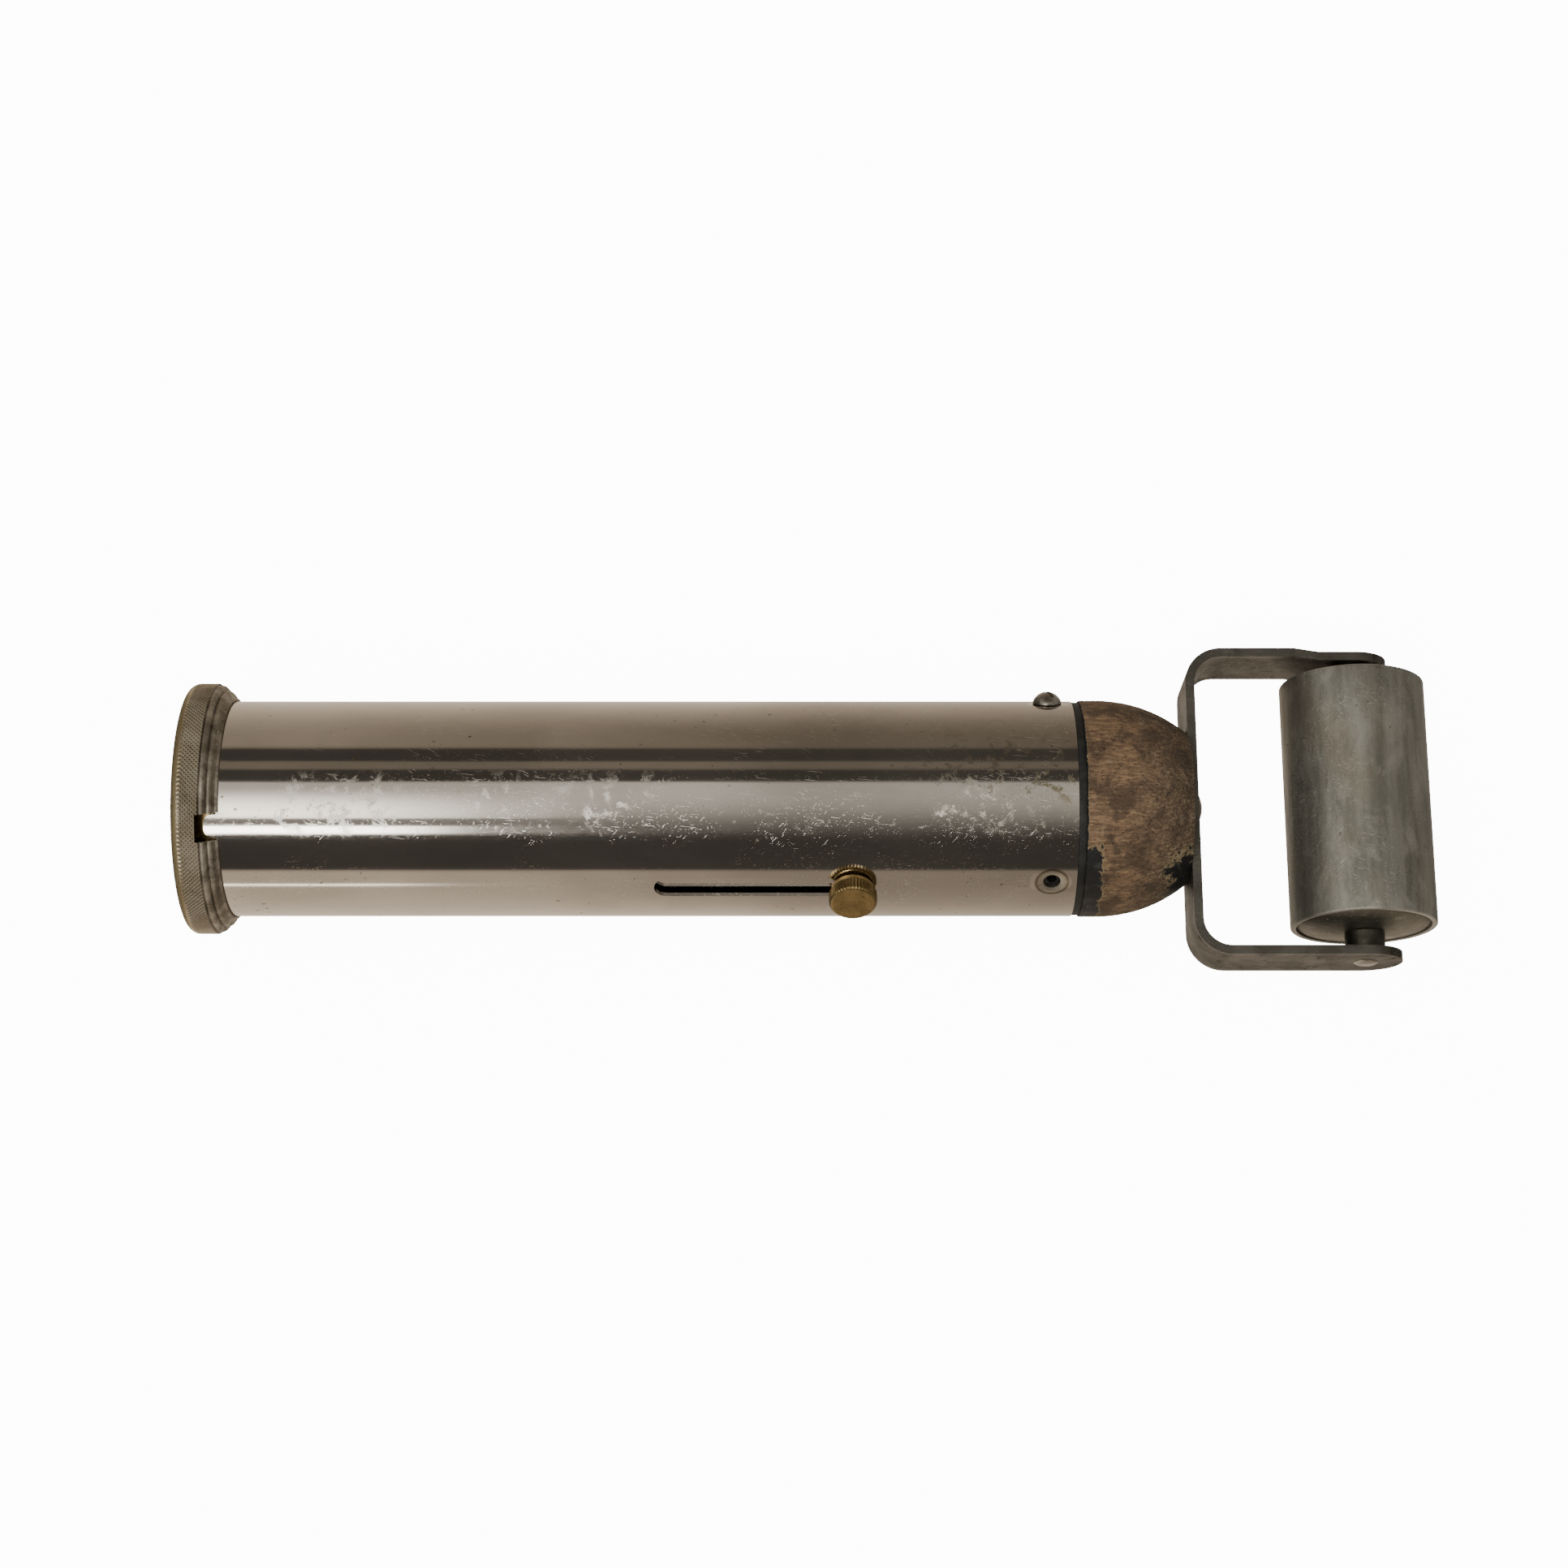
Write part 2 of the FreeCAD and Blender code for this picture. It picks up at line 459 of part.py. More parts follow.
def induction_coil():
    """Former, cheeks, core and two windings with paper between and round them."""
    rear = f"({COIL_REAR} + cheek_thickness)"
    front = f"({COIL_FRONT} - cheek_thickness)"
    layers = [("primary_winding", f"{FORMER_RADIUS} + layer_gap", PRIMARY_RADIUS),
              ("coil_paper", f"{PRIMARY_RADIUS} + layer_gap", f"{PRIMARY_RADIUS} + layer_gap + paper_wall"),
              ("secondary_winding", f"{PRIMARY_RADIUS} + 2 * layer_gap + paper_wall", SECONDARY_RADIUS),
              ("coil_wrap", f"{SECONDARY_RADIUS} + layer_gap", f"{SECONDARY_RADIUS} + layer_gap + wrap_wall")]
    return [
        tube("coil_former", COIL_REAR, COIL_FRONT, FORMER_BORE, FORMER_RADIUS),
        tube("coil_rear_cheek", COIL_REAR, rear, FORMER_RADIUS, CHEEK_RADIUS),
        tube("coil_front_cheek", front, COIL_FRONT, FORMER_RADIUS, f"{TUBE_BORE} - front_cheek_gap"),
        iron_core()] + [
        tube(label, f"{rear} + layer_gap", f"{front} - layer_gap", inner, outer)
        for label, inner, outer in layers]


def lead_wires():
    """Two insulated wires along the chassis plate."""
    leads = []
    for side, way in (("a", "-"), ("b", "+")):
        lead = turned(f"lead_{side}", rectangle(BULKHEAD_FRONT, "0", COIL_REAR, "lead_radius"))
        place(lead, "0", "0", f"{CHASSIS_TOP} + lead_radius")
        lead.setExpression("Placement.Base.y", bound(f"{way}lead_spread"))
        leads.append(lead)
    return grouped("lead_wires", leads)


def regulator():
    """Shield tube over the coil, and the stack that carries the thumb nut through the slot."""
    shield = tube("regulator_tube", SHIELD_REAR, f"{SHIELD_REAR} + shield_length", SHIELD_BORE,
                  SHIELD_RADIUS)
    pierce(shield, circle_outline(shield, SLIDER_X, "0", "slider_stud_radius", turn="slot_turn"), False)
    guide = "(slot_width / 2 - slider_side_gap)"
    saddle_top = f"({SHIELD_RADIUS} + saddle_height)"
    head_top = f"sqrt({SHIELD_BORE} * {SHIELD_BORE} - slider_stud_head_radius * slider_stud_head_radius)"
    block = turned("slider_block", [
        (SHIELD_RADIUS, "slider_stud_radius"), (SHIELD_RADIUS, "saddle_radius"),
        (saddle_top, "saddle_radius"), (saddle_top, guide), (GUIDE_TOP, guide),
        (GUIDE_TOP, "slider_stud_radius")], "Z")
    washer = tube("slide_washer", GUIDE_TOP, f"{GUIDE_TOP} + slide_washer", "slider_stud_radius",
                  "slide_washer_radius", "Z")
    stud = turned("slider_stud", [
        (f"{head_top} - slider_stud_head", "0"),
        (f"{head_top} - slider_stud_head", "slider_stud_head_radius"),
        (head_top, "slider_stud_head_radius"), (head_top, "slider_stud_radius"),
        (STUD_TOP, "slider_stud_radius"), (STUD_TOP, "0")], "Z")
    return [shield, slot_shutter()] + [place(body, SLIDER_X, "slot_turn") for body in (block, washer, stud)]


def slot_shutter():
    """Thin strip soldered to the shield's rear end. It closes the slot behind the thumb nut."""
    rear = f"{SLOT_REAR} - shutter_overlap"
    front = f"{SLIDER_X} - saddle_radius - running_gap"
    body = turned("slot_shutter", [
        (rear, SHUTTER_BORE), (rear, SHUTTER_TOP), (front, SHUTTER_TOP), (front, SHIELD_RADIUS),
        (SHIELD_REAR, SHIELD_RADIUS), (SHIELD_REAR, SHUTTER_BORE)])
    spin = body.Tip
    spin.Midplane = True
    spin.setExpression("Angle", bound("shutter_angle"))
    return place(body, "0", "90 + slot_turn")


def thumb_nut():
    bore = "(slider_stud_radius + running_gap)"
    bore_end = f"({STUD_TOP} + stud_end_gap)"
    top = f"({NUT_SEAT} + nut_height)"
    body = turned("thumb_nut", [
        (NUT_SEAT, bore), (NUT_SEAT, "nut_radius - nut_edge"), (f"{NUT_SEAT} + nut_edge", "nut_radius"),
        (f"{top} - nut_edge", "nut_radius"), (top, "nut_radius - nut_edge"), (top, "0"), (bore_end, "0"),
        (bore_end, bore)], "Z")
    return place(body, SLIDER_X, "slot_turn")


def round_head(along, rim, rise, radius):
    """Corners of a screw's or rivet's domed head, from its seat to the top on the axis."""
    curve = f"(({rise} * {rise} + {radius} * {radius}) / (2 * {rise}))"
    return [(along, radius), (f"{along} + {rim}", radius, -1, curve), (f"{along} + {rim} + {rise}", "0")]


def nose_screw(label, turn):
    point = f"({TUBE_RADIUS} - nose_screw_length)"
    body = turned(label, [(point, "0"), (f"{point} + nose_screw_point", "pilot_radius"),
                          (TUBE_RADIUS, "pilot_radius")]
                  + round_head(TUBE_RADIUS, "nose_screw_rim", "nose_screw_rise", "nose_screw_head"), "Z")
    top = f"({TUBE_RADIUS} + nose_screw_rim + nose_screw_rise)"
    pierce(body, outline(body, rectangle("-driver_slot / 2", f"{top} - driver_depth", "driver_slot / 2",
                                         f"{top} + 1"), "XZ_Plane"))
    return place(body, SCREW_X, turn)


def nose():
    """Wooden insulating nose, the ring behind it, and the two screws that are left of three."""
    curve_start = f"({SHOULDER} + nose_straight)"
    dome = turned("nose_dome", [
        (COIL_FRONT, "nose_recess_radius"), (COIL_FRONT, PLUG_RADIUS), (SHOULDER, PLUG_RADIUS),
        (SHOULDER, NOSE_RADIUS), (curve_start, NOSE_RADIUS, -1, "nose_curve"),
        (NOSE_FRONT, f"({NOSE_RADIUS} - nose_curve + sqrt(nose_curve * nose_curve"
                     " - (nose_length - nose_straight) * (nose_length - nose_straight)))"),
        (NOSE_FRONT, YOKE_HOLE), (RECESS_FLOOR, YOKE_HOLE),
        (RECESS_FLOOR, "nose_recess_radius")])
    for third in (-120, 0, 120):
        pierce(dome, circle_outline(dome, SCREW_X, "0", "pilot_radius", turn=f"screw_turn + {third}"), False)
    screws = [nose_screw("nose_screw_a", "screw_turn - 120"), nose_screw("nose_screw_b", "screw_turn + 120")]
    ring = tube("insulating_ring", TUBE_FRONT, SHOULDER, f"{PLUG_RADIUS} + ring_gap",
                f"{TUBE_RADIUS} - ring_inset")
    return [dome, ring, grouped("nose_screws", screws)]


def yoke():
    """Fork bent from flat strip; one arm steps in under the axle's head."""
    end = f"({AXLE_X} + yoke_width / 2)"
    inner = "(yoke_corner - yoke_thickness)"
    near = f"({AXLE_X} - joggle_near)"
    far = f"({AXLE_X} - joggle_far)"
    inside = f"({YOKE_HALF} - yoke_thickness)"
    body = extruded("yoke", [
        (NOSE_FRONT, f"-({YOKE_HALF} - yoke_corner)", 1, "yoke_corner"),
        (f"{NOSE_FRONT} + yoke_corner", f"-{YOKE_HALF}"),
        (end, f"-{YOKE_HALF}"), (end, f"-{inside}"),
        (f"{NOSE_FRONT} + yoke_corner", f"-{inside}", -1, inner), (YOKE_FRONT, f"-({YOKE_HALF} - yoke_corner)"),
        (YOKE_FRONT, f"{YOKE_HALF} - yoke_corner", -1, inner), (f"{NOSE_FRONT} + yoke_corner", inside),
        (near, inside), (far, f"{inside} - joggle_depth"), (end, f"{inside} - joggle_depth"),
        (end, HEAD_ARM), (far, HEAD_ARM), (near, YOKE_HALF),
        (f"{NOSE_FRONT} + yoke_corner", YOKE_HALF, 1, "yoke_corner"),
        (NOSE_FRONT, f"{YOKE_HALF} - yoke_corner")], "XY_Plane", "yoke_width")
    half = "(yoke_width / 2)"
    pierce(body, outline(body, [
        (AXLE_X, half), (AXLE_X, f"{half} + 1"), (f"{end} + 1", f"{half} + 1"), (f"{end} + 1", f"-{half} - 1"),
        (AXLE_X, f"-{half} - 1"), (AXLE_X, f"-{half}", 1, half), (end, "0", 1, half)], "XZ_Plane"))
    pierce(body, circle_outline(body, AXLE_X, "0", "axle_radius", "XZ_Plane"))
    pierce(body, circle_outline(body, "0", "0", YOKE_HOLE, "YZ_Plane"))
    return place(body, "0", "-yoke_roll")


def yoke_fixing():
    """Screw, washer and nut that clamp the yoke to the nose and carry the current to it."""
    screw = turned("yoke_screw", [
        (f"{NUT_FRONT} - yoke_nut_height - yoke_screw_tail", "0"),
        (f"{NUT_FRONT} - yoke_nut_height - yoke_screw_tail", "yoke_screw_radius"),
        (YOKE_FRONT, "yoke_screw_radius")]
        + round_head(YOKE_FRONT, "yoke_screw_rim", "(yoke_screw_rise - yoke_screw_rim)", "yoke_screw_head"))
    return [
        screw, tube("yoke_washer", NUT_FRONT, RECESS_FLOOR, "yoke_screw_radius", "yoke_washer_radius"),
        hexagon("yoke_nut", f"{NUT_FRONT} - yoke_nut_height", "yoke_nut_height", "yoke_nut_flats",
                "yoke_screw_radius")]


def on_axle(body):
    """Carry a body made about the Y axis to the axle, rolled with the yoke."""
    return place(body, AXLE_X, "-yoke_roll")


def axle():
    """Rod with a round head outside one arm, riveted over outside the other, and two collars."""
    low = f"(-{YOKE_HALF})"
    curve = ("((axle_end_rise * axle_end_rise + axle_end_radius * axle_end_radius)"
             " / (2 * axle_end_rise))")
    rod = turned("axle", [
        (f"{low} - axle_end_rise", "0", -1, curve), (low, "axle_end_radius"), (low, "axle_radius"),
        (HEAD_ARM, "axle_radius")]
        + round_head(HEAD_ARM, "axle_head_rim", "axle_head_rise", "axle_head_radius"), "Y")
    inside = f"({HEAD_ARM} - yoke_thickness)"
    plus = tube("collar_a", "(roller_shift + roller_length / 2 + disc_rise + collar_gap)", inside,
                "axle_radius", "collar_radius", "Y")
    minus = tube("collar_b", f"-({YOKE_HALF} - yoke_thickness)",
                 "(roller_shift - roller_length / 2 - disc_rise - collar_gap)",
                 "axle_radius", "collar_radius", "Y")
    return [on_axle(rod), grouped("axle_washers", [on_axle(plus), on_axle(minus)])]


def roller():
    """Hollow roller: a tube with a coned disc and a flanged bush in each end."""
    barrel = tube("roller_tube", "roller_shift - roller_length / 2", "roller_shift + roller_length / 2",
                  ROLLER_BORE, "roller_radius", "Y")
    discs, bushes = [], []
    for side, out, back in (("a", "+", "-"), ("b", "-", "+")):
        end = f"(roller_shift {out} roller_length / 2)"
        hub = f"({end} {out} disc_rise)"
        hole = "(axle_radius + running_gap)"
        discs.append(on_axle(turned(f"disc_{side}", [
            (f"{end} {back} disc_groove", ROLLER_BORE), (hub, "bush_shoulder"), (hub, "bush_radius"),
            (f"{hub} {back} disc_wall", "bush_radius"), (f"{end} {back} disc_groove {back} disc_wall",
                                                         ROLLER_BORE)], "Y")))
        bushes.append(on_axle(turned(f"bush_{side}", rectangle(
            hub, hole, f"{hub} {back} bush_length", "bush_radius"), "Y")))
    return [on_axle(barrel), grouped("roller_end_discs", discs), grouped("roller_bushes", bushes)]


nodes = ([case_tube()] + end_cap() + dry_cell() + bulkhead() + trembler_base() + armature()
         + induction_coil() + [lead_wires()] + regulator() + [thumb_nut()] + nose()
         + [yoke()] + yoke_fixing() + axle() + roller())
doc.recompute()

for item in doc.Objects:
    if "Invalid" in item.State or "Error" in item.State:
        raise RuntimeError(f"{item.Label}: {item.State}")
for node in nodes:
    if node.Shape.isNull() or not node.Shape.isValid() or not node.Shape.Solids:
        raise RuntimeError(f"{node.Label} has no valid solid")

os.makedirs("parts", exist_ok=True)
for node in nodes:
    node.Shape.exportStep(f"parts/{node.Label}.step")
    print(f"{node.Label}: {len(node.Shape.Solids)} solid, {node.Shape.Volume:.1f} mm3")
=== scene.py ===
import bpy
import json
import math
from mathutils import Matrix, Vector


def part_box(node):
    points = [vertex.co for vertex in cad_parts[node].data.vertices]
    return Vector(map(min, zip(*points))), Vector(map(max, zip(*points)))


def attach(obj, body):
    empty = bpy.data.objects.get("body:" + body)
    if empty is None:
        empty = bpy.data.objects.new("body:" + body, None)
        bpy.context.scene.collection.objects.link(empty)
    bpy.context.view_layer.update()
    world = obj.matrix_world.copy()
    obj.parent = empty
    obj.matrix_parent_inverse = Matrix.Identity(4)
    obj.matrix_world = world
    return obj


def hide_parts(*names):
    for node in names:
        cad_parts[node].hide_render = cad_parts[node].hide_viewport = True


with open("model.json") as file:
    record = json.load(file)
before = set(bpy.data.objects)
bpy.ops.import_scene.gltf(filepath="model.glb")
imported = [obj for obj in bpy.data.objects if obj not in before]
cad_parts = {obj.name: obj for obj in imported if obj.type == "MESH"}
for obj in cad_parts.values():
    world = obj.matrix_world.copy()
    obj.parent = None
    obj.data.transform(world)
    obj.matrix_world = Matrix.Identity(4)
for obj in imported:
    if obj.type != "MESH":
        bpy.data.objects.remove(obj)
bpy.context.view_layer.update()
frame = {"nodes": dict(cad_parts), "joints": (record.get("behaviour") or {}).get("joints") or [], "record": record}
nodes = frame["nodes"]
joints = {joint["name"]: joint for joint in frame["joints"]}
mm = 0.001

# directions and places that the frame gives
rollerAxis = Vector(joints["roller_spin"]["axis"])
axleCentre = Vector(joints["roller_spin"]["pos_m"])
yokeRoll = math.atan2(rollerAxis.z, rollerAxis.y)
yokeUp = Vector((0, -math.sin(yokeRoll), math.cos(yokeRoll)))
nutAxis = Vector(joints["thumb_nut_turn"]["axis"])
nutX = joints["thumb_nut_turn"]["pos_m"][0]
slotTurn = math.atan2(-nutAxis.y, nutAxis.z)
alongX = Vector((1, 0, 0))


def span(node, direction):  # how far a CAD node reaches along a direction, low and high
    reach = [vertex.co.dot(direction) for vertex in nodes[node].data.vertices]
    return min(reach), max(reach)


def reachFromAxis(node):  # a CAD node's largest distance from the tube's axis
    return max(math.hypot(vertex.co.y, vertex.co.z) for vertex in nodes[node].data.vertices)


screwTurn = 41.5  # degrees round the tube to the empty hole; the others are 120 degrees from it
screwX = (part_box("nose_screws")[0].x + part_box("nose_screws")[1].x) / 2
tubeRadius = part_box("case_tube")[1].y / mm
emptyHole = (screwX / mm, -tubeRadius * math.sin(math.radians(screwTurn)),
             tubeRadius * math.cos(math.radians(screwTurn)))


# ---- shader maths: a Flow is one socket's value, and sums on it add Math nodes

class Flow:
    def __init__(self, finish, socket):
        self.finish = finish
        self.socket = socket

    def maths(self, operation, *values):
        return self.finish.node("Math", {"operation": operation}, dict(enumerate([self, *values])))

    def __add__(self, other): return self.maths("ADD", other)
    def __sub__(self, other): return self.maths("SUBTRACT", other)
    def __mul__(self, other): return self.maths("MULTIPLY", other)
    def __truediv__(self, other): return self.maths("DIVIDE", other)
    def __radd__(self, other): return self.maths("ADD", other)
    def __rmul__(self, other): return self.maths("MULTIPLY", other)

    def __rsub__(self, other):
        return self.finish.node("Math", {"operation": "SUBTRACT"}, {0: other, 1: self})

    def fade(self, low, high):  # 0 below low, 1 above high, smooth between; high may be the lower one
        settings = {"interpolation_type": "SMOOTHSTEP"}
        if low < high:
            return self.finish.node("MapRange", settings, {0: self, 1: low, 2: high, 3: 0.0, 4: 1.0})
        return self.finish.node("MapRange", settings, {0: self, 1: high, 2: low, 3: 1.0, 4: 0.0})

    def near(self, centre, width):  # 1 at centre, 0 a width away
        return (self - centre).maths("ABSOLUTE").fade(width, 0.0)


class Finish:
    def __init__(self, name, **constants):
        self.material = bpy.data.materials.new(name)
        self.material.use_nodes = True
        self.tree = self.material.node_tree
        self.shader = self.tree.nodes["Principled BSDF"]
        for socketName, number in constants.items():
            self.shader.inputs[socketName.replace("_", " ")].default_value = number
        coordinates = self.node("TexCoord", {}, {}, "Object")
        self.point = self.node("VectorMath", {"operation": "SCALE"}, {0: coordinates, 3: 1 / mm})
        self.heights = []

    def node(self, kind, settings, sockets, output=0):
        node = self.tree.nodes.new("ShaderNode" + kind)
        for name, setting in settings.items():
            setattr(node, name, setting)
        for name, source in sockets.items():
            if isinstance(source, Flow):
                self.tree.links.new(source.socket, node.inputs[name])
            else:
                node.inputs[name].default_value = source
        return Flow(self, node.outputs[output])

    def rolled(self, turn):  # the point in millimetres, turned back about X
        settings = {"rotation_type": "X_AXIS"}
        return self.node("VectorRotate", settings, {"Vector": self.point, "Angle": -turn})

    def parts(self, point=None):
        source = point or self.point
        return [self.node("SeparateXYZ", {}, {0: source}, axis) for axis in "XYZ"]

    def stretched(self, factors, point=None):
        return self.node("VectorMath", {"operation": "MULTIPLY"}, {0: point or self.point, 1: factors})

    def noise(self, size, detail=3.0, rough=0.5, twist=0.0, stretch=(1, 1, 1), point=None):
        source = self.stretched(tuple(factor / size for factor in stretch), point)
        sockets = {"Vector": source, "Scale": 1.0, "Detail": detail, "Roughness": rough, "Distortion": twist}
        return self.node("TexNoise", {}, sockets)

    def cells(self, size, stretch=(1, 1, 1), feature="F1", output="Distance", point=None):
        source = self.stretched(tuple(factor / size for factor in stretch), point)
        return self.node("TexVoronoi", {"feature": feature}, {"Vector": source, "Scale": 1.0}, output)

    def streaks(self, turn, length, width, above, shift=0.0):  # short straight scratches lying one way
        settings = {"rotation_type": "EULER_XYZ"}
        source = self.node("VectorRotate", settings, {"Vector": self.point, "Rotation": (turn * 0.6, turn * 0.3, turn)})
        source = self.stretched((1 / length, 1 / width, 1 / width), source)
        source = self.node("VectorMath", {"operation": "ADD"}, {0: source, 1: (shift, shift, shift)})
        line = self.node("TexNoise", {}, {"Vector": source, "Scale": 1.0, "Detail": 0.0})
        return line.fade(above, above + 0.05)

    def scratches(self, above=0.75, size=1.0):  # three sets of them, thinned out by a larger patchwork
        lines = self.streaks(0.5, 2.6 * size, 0.17 * size, above)
        lines = lines + self.streaks(-0.8, 1.9 * size, 0.15 * size, above + 0.01, 17.0)
        lines = lines + self.streaks(0.1, 3.8 * size, 0.14 * size, above + 0.015, 53.0)
        return lines.maths("MINIMUM", 1.0) * self.noise(13.0 * size, 3.0, 0.6).fade(0.40, 0.60)

    def mix(self, factor, first, second):
        sockets = {0: factor, 6: self.colour(first), 7: self.colour(second)}
        return self.node("Mix", {"data_type": "RGBA"}, sockets, 2)

    def colour(self, value):
        return value if isinstance(value, Flow) else (*value, 1)

    def shade(self, factor, first, second):  # a number that runs from first to second
        return factor * (second - first) + first

    def feed(self, **sources):
        for name, source in sources.items():
            self.tree.links.new(source.socket, self.shader.inputs[name.replace("_", " ")])

    def raise_(self, height, distance):  # a relief, heights 0 to 1 over a distance in millimetres
        self.heights.append((height, distance))

    def done(self):
        normal = None
        for height, distance in self.heights:
            sockets = {"Height": height, "Distance": distance * mm, "Strength": 1.0}
            if normal:
                sockets["Normal"] = normal
            normal = self.node("Bump", {}, sockets)
        if normal:
            self.feed(Normal=normal)
        return self.material


# ---- finishes

def nickelFinish():
    # worn nickel plate: long polish lines, cloudy spots painted brighter only along the lit top band (partly painted
    # highlight), short scratches and a tarnished front end
    look = {"clean": (0.60, 0.56, 0.51), "dull": (0.50, 0.465, 0.42), "cloudAndSheen": (0.86, 0.84, 0.76),
            "tarnish": (0.17, 0.14, 0.065), "dirt": (0.13, 0.105, 0.06), "scratch": (0.85, 0.83, 0.78)}
    finish = Finish("nickelPlate", Metallic=1.0)
    x, y, z = finish.parts()
    around = y.maths("ARCTAN2", z)
    polish = finish.noise(0.8, 3.0, 0.6, 0.0, (0.02, 1.6, 1.6))
    haze = finish.noise(20.0, 4.0, 0.6, 0.4, (0.5, 1, 1))
    # the cloudy plating is real haze, but it is laid only along the top band and at the left end, where the highlight
    # falls, so it is partly painted highlight
    highlightBand = around.near(0.08, 0.40)
    places = finish.noise(13.0, 2.0, 0.5, 0.0, (0.8, 1, 1)).fade(0.54, 0.64)
    places = places.maths("MAXIMUM", x.near(28.0, 15.0).fade(0.0, 0.5))
    cloudAndSheen = finish.noise(2.6, 5.0, 0.72, 0.5).fade(0.50, 0.62) * highlightBand * places
    pits = finish.cells(1.3).fade(0.15, 0.06) * finish.noise(7.0, 3.0, 0.6).fade(0.54, 0.66)
    frontEnd = x.fade(118.0, 150.0)
    tarnish = finish.noise(2.4, 6.0, 0.74, 0.5).fade(0.535, 0.60) * frontEnd * around.near(0.30, 0.80)
    freckles = finish.cells(2.3, (0.7, 1, 1)).fade(0.16, 0.05) * finish.noise(15.0, 3.0, 0.6).fade(0.48, 0.62)
    worn = finish.scratches()
    base = finish.mix(haze.fade(0.35, 0.7), look["dull"], look["clean"])
    base = finish.mix(cloudAndSheen * 0.9, base, look["cloudAndSheen"])
    base = finish.mix(tarnish * 0.85, base, look["tarnish"])
    base = finish.mix((freckles * 0.8 + pits * 0.8).maths("MINIMUM", 1.0), base, look["dirt"])
    base = finish.mix(worn * 0.55, base, look["scratch"])
    # round the empty screw hole the dark ring at the dish's edge and the darker dish are painted shade of that recess,
    # mixed from the dirt and tarnish colours; the dish is also made rougher
    holeX, holeY, holeZ = emptyHole
    offHole = (x - holeX) * (x - holeX) + (y - holeY) * (y - holeY) + (z - holeZ) * (z - holeZ)
    distance = offHole.maths("SQRT")
    shadedDish = distance.fade(2.75, 2.45)
    base = finish.mix(distance.near(2.75, 0.45) * 0.85, base, look["dirt"])
    base = finish.mix(shadedDish * 0.35, base, look["tarnish"])
    rough = finish.shade(haze, 0.05, 0.10) + cloudAndSheen * 0.45 + tarnish * 0.4 + freckles * 0.3
    rough = rough + worn * 0.22 + shadedDish * 0.35
    finish.feed(Base_Color=base, Roughness=rough + polish * 0.03)
    finish.raise_(polish, 0.0025)
    finish.raise_(1 - (worn * 0.5 + pits), 0.005)
    finish.raise_(finish.noise(32.0, 2.0, 0.5, 0.0, (0.35, 1, 1)), 0.10)
    return finish.done()


def capFinish(rimRadius, rimFront):
    # knurled rim of worn plate over brass: bright on the crests, near black in the cuts, silver beads in front with
    # painted shade in the gap behind them
    finish = Finish("capMetal", Metallic=1.0)
    x, y, z = finish.parts()
    radius = (y * y + z * z).maths("SQRT")
    crest = radius.fade(rimRadius - 0.20, rimRadius - 0.02)
    patches = finish.noise(7.0, 4.0, 0.6).fade(0.40, 0.66)
    rim = finish.mix(crest, (0.032, 0.026, 0.017), (0.47, 0.41, 0.30))
    rim = finish.mix(crest * patches * 0.7, rim, (0.70, 0.64, 0.54))
    edge = x.fade(1.9, 0.9) * radius.fade(rimRadius - 2.6, rimRadius - 1.6)
    rim = finish.mix(edge * 0.8, rim, (0.50, 0.41, 0.24))
    # the near-black gap behind the beads, toward the tube, is painted shade
    beadGapShade = (radius + x - (rimRadius + rimFront - 0.55)).fade(0.25, -0.10)
    bead = finish.mix(finish.noise(3.0, 4.0, 0.6).fade(0.35, 0.7), (0.25, 0.22, 0.175), (0.50, 0.46, 0.39))
    bead = finish.mix(beadGapShade * 0.9, bead, (0.05, 0.04, 0.026))
    front = x.fade(rimFront - 0.1, rimFront + 0.15)
    base = finish.mix(front, rim, bead)
    back = x.fade(0.4, 0.0)
    plating = finish.noise(9.0, 5.0, 0.65, 0.4).fade(0.25, 0.80)
    plate = finish.mix(plating, (0.40, 0.34, 0.225), (0.50, 0.455, 0.365))
    base = finish.mix(back, base, plate)
    dirt = finish.noise(1.6, 4.0, 0.7).fade(0.56, 0.72)
    base = finish.mix(dirt * 0.45, base, (0.10, 0.085, 0.055))
    finish.feed(Base_Color=base, Roughness=finish.shade(crest, 0.55, 0.32) + dirt * 0.15 + (1 - patches) * 0.06)
    finish.raise_(finish.noise(0.5, 3.0, 0.6), 0.02)
    finish.raise_((radius * 9.0).maths("SINE") * back, 0.01)
    return finish.done()


def brassFinish(name, bright, dull, dirt, rough, size=4.0):
    finish = Finish(name, Metallic=1.0)
    age = finish.noise(size, 5.0, 0.65, 0.3)
    fine = finish.noise(0.35, 3.0, 0.6)
    stain = finish.noise(size * 0.4, 4.0, 0.7).fade(0.58, 0.74)
    scratch = finish.scratches(0.74, 0.6)
    base = finish.mix(age.fade(0.35, 0.68), dull, bright)
    base = finish.mix(stain * 0.7, base, dirt)
    base = finish.mix(scratch * 0.35, base, tuple(min(1.0, part * 1.35) for part in bright))
    finish.feed(Base_Color=base, Roughness=finish.shade(age, rough + 0.08, rough - 0.04) + stain * 0.2 + fine * 0.06)
    finish.raise_(fine, 0.006)
    finish.raise_(1 - scratch, 0.01)
    return finish.done()


